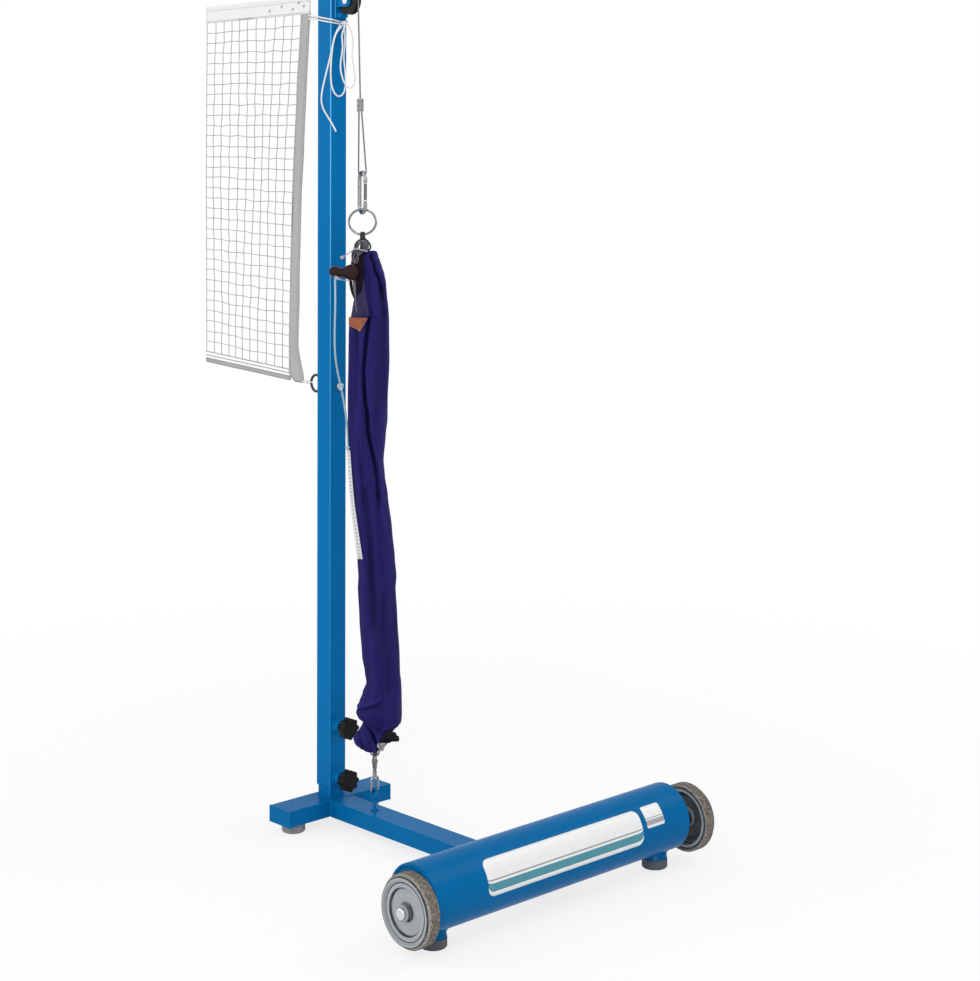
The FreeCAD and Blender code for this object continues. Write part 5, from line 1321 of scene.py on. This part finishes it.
class OBJECT_OT_post_toggle(bpy.types.Operator):
    """Shape the rolled leather toggle and hang the pull cord with its webbing strip from it"""
    bl_idname = "object.post_toggle"
    bl_label = "Toggle and pull cord"

    def execute(self, context):
        self.toggle()
        self.pull_cord()
        self.strip(dotted_webbing("dotted webbing", tuple(context.scene.post_colours.cord)))
        return {"FINISHED"}

    def toggle(self):
        rows = []
        for right, rise, half_height, half_depth in TOGGLE:
            row = []
            for angle in angles(48):
                pleat = 1 + 0.05 * math.sin(angle * 7 + right * 160)
                pleat += 0.05 * math.sin(angle * 3 - right * 190)
                row.append(beside(right, TOGGLE_OUT + half_depth * math.cos(angle) * pleat,
                                  TOGGLE_HEIGHT + rise + half_height * math.sin(angle) * pleat))
            rows.append(row)
        form = Form().add_body(rows, spaced(0.004, 0.001), flip=True)
        leather = hide("maroon leather", (0.02, 0.0045, 0.006))
        form.make("toggle_roll", "post", leather, "maroon_leather", ("leather_toggle",), rounding=1)
        piping = Form()
        for side in (-1, 1):
            line = [beside(right, TOGGLE_OUT + half_depth * 0.75,
                           TOGGLE_HEIGHT + rise + side * half_height * 0.97)
                    for right, rise, half_height, half_depth in TOGGLE[1:-3]]
            piping.add_tube(curve_through(line, 4), 0.0007, 6)
        finish = twisted("pink piping", (0.3, 0.15, 0.19), (0.1, 0.04, 0.06), 260)
        piping.make("toggle_piping", "post", finish, "white_cord")
        path = route(TOGGLE_STOP)
        stop = Form().add_tube(path, tapered(path, 0.0026, -0.0018, 0.2, 0.6), 8)
        pale = twisted("pale stop", (0.6, 0.66, 0.66), (0.3, 0.36, 0.36), 260)
        stop.make("toggle_stop", "post", pale, "white_cord")

    def pull_cord(self):
        # Painted light: the white cord is tinted blue and darkened for the blue light and shade that the post
        # casts on it.
        cord = twisted("pull cord", (0.66, 0.8, 0.88), (0.3, 0.5, 0.62), 110)
        points = [beside(*point) for point in PULL_CORD]
        piece = cord_curve("pull_line", points, PULL_RADIUS)
        finish_piece(piece, "post", cord, ("pull_cord",))
        knot = Form()
        overhand_knot(knot, beside(0.0165, 0.1006, 0.826), 0.0052, 0.0016)
        overhand_knot(knot, beside(0.0295, 0.1004, 0.7125), 0.0036, 0.0013)
        knots = knot.make("pull_knots", "post", cord, "white_cord")
        tuple(points[0])

    def strip(self, webbing):
        """Narrow webbing that turns its flat side forward and widens towards its end."""
        path = route(STRIP, 12)
        width, widening, thickness = 0.0058, 0.0042, 0.0011
        rows = []
        for number, middle in enumerate(path):
            down = number / len(path)
            row = []
            for place in range(7):
                share = place / 6 - 0.5
                cup = 0.0005 * math.cos(share * math.pi)
                lean = RIGHT * (share * (width + widening * down) + 0.0012 * down)
                row.append(middle + lean + TOWARD * (cup + (share + 0.5) * 0.003))
            rows.append(row)
        form = Form().add_sheet(rows, thickness, spaced(0.0041, 0.007 / 6))
        strip = form.make("pull_strip", "post", webbing, "white_cord", ("webbing_strip",))
        tuple(path[0])


# Steel, wheels and stickers; the weld points' even distance and the arm's top and underside
WELD_STEP = 0.0012
ARM_TOP, ARM_FLOOR = 0.048, 0.018


def close_points(start, end):
    """Points for a weld from one place to another."""
    start, end = Vector(start), Vector(end)
    count = max(2, int((end - start).length / WELD_STEP))
    return [start.lerp(end, number / count) for number in range(count + 1)]


def weld_ring(middle, radius, across, over):
    return ring(Vector(middle), across * radius, over * radius, int(2 * math.pi * radius / WELD_STEP))


def bead(form, line, closed=False):
    """A weld bead: a low rippled seam along a line of close points."""
    radii = [0.0019 + 0.0003 * math.sin(number * 2.1) for number in range(len(line))]
    form.add_tube(line, radii, 8, closed)


class OBJECT_OT_post_steel(bpy.types.Operator):
    """Give the machined and painted pieces their finishes"""
    bl_idname = "object.post_steel"
    bl_label = "Steel, rubber and plastic"

    def execute(self, context):
        colours = context.scene.post_colours
        paint = powder_coat("blue powder coat", tuple(colours.paint))
        # Painted shade: the base's pieces get the same blue paint made darker, to tone down the light that
        # falls on them from above.
        shaded_paint = powder_coat("blue coat with painted shade", shade(tuple(colours.paint), 0.84))
        finishes = (
            (paint, "post_stub post_tube knob_bosses pulley_bracket"),
            (shaded_paint, "cross_foot foot_end_plates base_arm counterweight_tube counterweight_end_plates"
                        " pad_boss_near pad_boss_far base_eye_bolt"),
            (zinc("zinc plate"), "post_stop_plate wheel_axle axle_spacers pulley_bolt net_eye_nut"),
            (wire_strands("wire rope"), "wire_rope rope_loop"),
            (chrome("bright chrome"), "axle_cap_near axle_cap_far"),
            (chrome("dark chrome", (0.24, 0.24, 0.24)), "steel_ring lower_snap_swivel"),
            (chrome("worn chrome", (0.33, 0.33, 0.34)), "upper_hook lower_snap_body lower_snap_gate"),
            (zinc("dark zinc", (0.15, 0.15, 0.15)), "upper_hook_gate"),
            (zinc("dull wire", (0.05, 0.05, 0.05)), "net_eye_bolt"),
            (moulded("black plastic", (0.0035, 0.004, 0.004), 0.36, 0.14),
             "knob_upper knob_lower post_cap pulley"),
            (soft_rubber("grey rubber", (0.13, 0.135, 0.14)), "floor_pad_near floor_pad_far"),
            (soft_rubber("pale rubber", (0.27, 0.28, 0.28)), "cross_foot_pad_near cross_foot_pad_far"),
            (wheel_plastic("wheel plastic", tuple(colours.wheel)), "wheel_disc_near wheel_disc_far"),
            (moulded("pale bush", (0.6, 0.6, 0.58)), "wheel_bush_near wheel_bush_far"),
            (tyre_rubber("tyre rubber", (0.17, 0.148, 0.125)), "tyre_near tyre_far"),
            (soft_rubber("concrete", (0.4, 0.39, 0.37)), "concrete_core"),
        )
        for finish, names in finishes:
            for name in names.split():
                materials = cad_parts[name].data.materials
                materials.clear()
                materials.append(finish)
        self.welds(paint, shaded_paint)
        return {"FINISHED"}

    def welds(self, paint, shaded_paint):
        base, post = Form(), Form()
        for side in (-1, 1):
            y = side * 0.0252
            bead(base, close_points((0.0305, y, ARM_FLOOR + 0.002), (0.0305, y, ARM_TOP - 0.002)))
        for x, lift in ((0.0303, -0.0006), (0.5392, 0.0003)):
            bead(base, close_points((x, -0.024, ARM_TOP + lift), (x, 0.024, ARM_TOP + lift)))
        half, z = 0.0178, ARM_TOP + 0.0004
        corners = [(half, -half, z), (half, half, z), (-half, half, z), (-half, -half, z)]
        for corner, following in zip(corners, corners[1:] + corners[:1]):
            bead(base, close_points(corner, following))
        for y in (-0.3112, 0.2842):
            bead(base, weld_ring((WEIGHT_X, y, WEIGHT_Z), 0.0534, X, Z), True)
        for y in (-0.269, 0.256):
            line = weld_ring((WEIGHT_X, y, 0.03), 0.0218, X, Y)
            for point in line:
                point.z = WEIGHT_Z - math.sqrt(WEIGHT_RADIUS ** 2 - (point.x - WEIGHT_X) ** 2) - 0.0002
            bead(base, line, True)
        base.make("base_welds", "base", shaded_paint, "blue_paint")
        x = 0.0203
        for z in (0.0846, 0.1814):
            bead(post, weld_ring((x, 0, z), 0.0123, Y, Z), True)
        for side in (-1, 1):
            bead(post, close_points((x, side * 0.0092, 1.503), (x, side * 0.0092, 1.545)))
        bead(post, close_points((x, -0.0085, 1.5008), (x, 0.0085, 1.5008)))
        post.make("post_welds", "post", paint, "blue_paint")


class OBJECT_OT_post_stickers(bpy.types.Operator):
    """Lay two plain stickers on the counterweight"""
    bl_idname = "object.post_stickers"
    bl_label = "Stickers"

    def execute(self, context):
        teal, grey, pale = (0.05, 0.26, 0.33), (0.3, 0.32, 0.34), (0.35, 0.37, 0.4)
        self.sticker("label_sheet", "label_plate", printed_label("striped sticker", teal, grey, 0.06),
                     start=-0.201, length=0.366, low_angle=-9, arc=60, corner=0.013)
        self.sticker("badge_sheet", "badge_plate", printed_label("small sticker", pale, grey, 0.038),
                     start=0.177, length=0.044, low_angle=14, arc=38, corner=0.003)
        return {"FINISHED"}

    def sticker(self, name, node, finish, start, length, low_angle, arc, corner):
        """A thin sheet bent round the counterweight, with rounded corners."""
        thickness, clear = 0.0003, 0.0004
        radius = WEIGHT_RADIUS + clear
        low, arc = math.radians(low_angle), math.radians(arc)
        steps = [corner * (1 - math.cos(math.pi * step / 16)) for step in range(9)]
        places = steps + [corner + (length - 2 * corner) * step / 20 for step in range(1, 20)]
        places += [length - step for step in reversed(steps)]
        rows = []
        for place in places:
            near_end = max(0.0, corner - min(place, length - place))
            shrink = (corner - math.sqrt(max(0.0, corner ** 2 - near_end ** 2))) / radius
            row = []
            for step in range(17):
                angle = low + shrink + (arc - 2 * shrink) * step / 16
                row.append(Vector((WEIGHT_X + radius * math.cos(angle), start + place,
                                   WEIGHT_Z + radius * math.sin(angle))))
            rows.append(row)
        form = Form().add_sheet(rows, thickness,
                                lambda line, place: (places[line], place * radius * arc / 16))
        form.make(name, "base", finish, "white_label", (node,))


# The camera: its focal length, upward shift, direction round the upright, roll and place
LENS, SHIFT, AZIMUTH, ROLL = 78.263, -0.38255, 2.3804, 0.00156
CAMERA_PLACE = (3.0995, -2.5435, 1.3218)
# The backdrop's strength as light and as it is seen; where the floor fades out round the part
LIGHT_STRENGTH, SEEN_STRENGTH = 0.62, 1.0
FADE_START, FADE_END = 0.7, 2.2
# Lamps: place, target, size and power
LAMPS = (
    ((2.6, -3.4, 3.0), (0.25, 0.0, 0.6), (2.4, 2.4), 50),
    ((-2.2, -2.6, 2.4), (0.2, 0.0, 0.7), (2.6, 2.6), 30),
    ((1.8, 2.6, 3.2), (0.3, 0.0, 0.5), (2.0, 2.0), 34),
    ((1.9, -2.7, 1.7), (0.0, 0.0, 1.5), (0.1, 1.3), 10),
)


class SCENE_OT_post_stage(bpy.types.Operator):
    """Set the pale floor, the soft light and the camera"""
    bl_idname = "scene.post_stage"
    bl_label = "Stage"

    def execute(self, context):
        scene = context.scene
        scene.view_settings.view_transform = "Standard"
        self.camera(scene)
        self.world(scene)
        self.floor(scene)
        for number, (place, target, (wide, tall), power) in enumerate(LAMPS):
            data = bpy.data.lights.new("soft lamp %d" % (number + 1), "AREA")
            data.shape = "ELLIPSE" if wide == tall else "RECTANGLE"
            data.size, data.size_y, data.energy = wide, tall, power
            lamp = bpy.data.objects.new(data.name, data)
            lamp.location = place
            lamp.rotation_euler = (Vector(target) - Vector(place)).to_track_quat("-Z", "Y").to_euler()
            scene.collection.objects.link(lamp)
        return {"FINISHED"}

    def camera(self, scene):
        data = bpy.data.cameras.new("camera")
        data.sensor_fit, data.sensor_width, data.lens = "HORIZONTAL", 36, LENS
        data.shift_y = SHIFT
        data.clip_end = 60
        camera = bpy.data.objects.new("camera", data)
        forward = Vector((math.cos(AZIMUTH), math.sin(AZIMUTH), 0))
        turn = forward.to_track_quat("-Z", "Y").to_matrix() @ Matrix.Rotation(ROLL, 3, "Z")
        camera.matrix_world = Matrix.Translation(CAMERA_PLACE) @ turn.to_4x4()
        scene.collection.objects.link(camera)
        scene.camera = camera

    def world(self, scene):
        """Plain white light, a little brighter where it is seen than where it lights."""
        world = bpy.data.worlds.new("studio")
        world.use_nodes = True
        nodes = Nodes(world.node_tree)
        light = world.node_tree.nodes["Background"]
        light.inputs["Color"].default_value = (1, 1, 1, 1)
        strength = nodes.ramp(nodes.seen(), 0.0, 1.0, LIGHT_STRENGTH, SEEN_STRENGTH)
        nodes.feed(light.inputs["Strength"], strength)
        scene.world = world

    def floor(self, scene):
        """A pale floor that fades into the white backdrop."""
        finish = Finish("pale floor")
        x, y, _ = finish.parts_of(finish.place)
        reach = ((x - 0.3) * (x - 0.3) + y * y).power(0.5)
        fade = finish.ramp(reach, FADE_START, FADE_END, shape="SMOOTHSTEP")
        clear = finish.node("ShaderNodeBsdfTransparent", {}, {})
        finish.set((0.94, 0.94, 0.94), 0.9, 0.1)
        glow = finish.node("ShaderNodeEmission", {}, {"Color": (1, 1, 1, 1), "Strength": 1.0})
        body = Wire(finish, finish.surface.outputs[0])
        body = finish.node("ShaderNodeMixShader", {}, {0: finish.seen() * 0.78, 1: body, 2: glow})
        body = finish.node("ShaderNodeMixShader", {}, {0: fade, 1: body, 2: clear})
        finish.feed(finish.tree.nodes["Material Output"].inputs["Surface"], body)
        size = 4.0
        mesh = bpy.data.meshes.new("floor")
        corners = [(-size, -size, 0), (size, -size, 0), (size, size, 0), (-size, size, 0)]
        mesh.from_pydata(corners, [], [(0, 1, 2, 3)])
        mesh.materials.append(finish.material)
        thing = bpy.data.objects.new("floor", mesh)
        scene.collection.objects.link(thing)


PIECES = (OBJECT_OT_post_ties, OBJECT_OT_post_toggle, OBJECT_OT_post_steel, OBJECT_OT_post_net,
          OBJECT_OT_post_tapes, OBJECT_OT_post_line, OBJECT_OT_post_sleeve, OBJECT_OT_post_stickers)
SETTINGS = (("post_colours", PostColours), ("net_sizes", NetSizes), ("sleeve_sizes", SleeveSizes))


class VIEW3D_PT_net_post(bpy.types.Panel):
    """The net post's settings and its operators"""
    bl_label = "Net Post"
    bl_space_type = "VIEW_3D"
    bl_region_type = "UI"
    bl_category = "Net Post"

    def draw(self, context):
        for name, group in SETTINGS:
            settings = getattr(context.scene, name)
            for word in group.__annotations__:
                self.layout.prop(settings, word)
        for operator in (SCENE_OT_post_stage, *PIECES):
            self.layout.operator(operator.bl_idname)


CLASSES = (PostColours, NetSizes, SleeveSizes, SCENE_OT_post_stage, *PIECES, VIEW3D_PT_net_post)


def register():
    for group in CLASSES:
        bpy.utils.register_class(group)
    for name, group in SETTINGS:
        setattr(bpy.types.Scene, name, PointerProperty(type=group))


def unregister():
    for name, _ in SETTINGS:
        delattr(bpy.types.Scene, name)
    for group in reversed(CLASSES):
        bpy.utils.unregister_class(group)


def main():
    register()
    bpy.ops.scene.post_stage()
    bpy.ops.object.post_ties()
    bpy.ops.object.post_toggle()
    bpy.ops.object.post_steel()
    bpy.ops.object.post_net()
    bpy.ops.object.post_tapes()
    bpy.ops.object.post_line()
    bpy.ops.object.post_sleeve()
    bpy.ops.object.post_stickers()


if __name__ == "__main__":
    main()
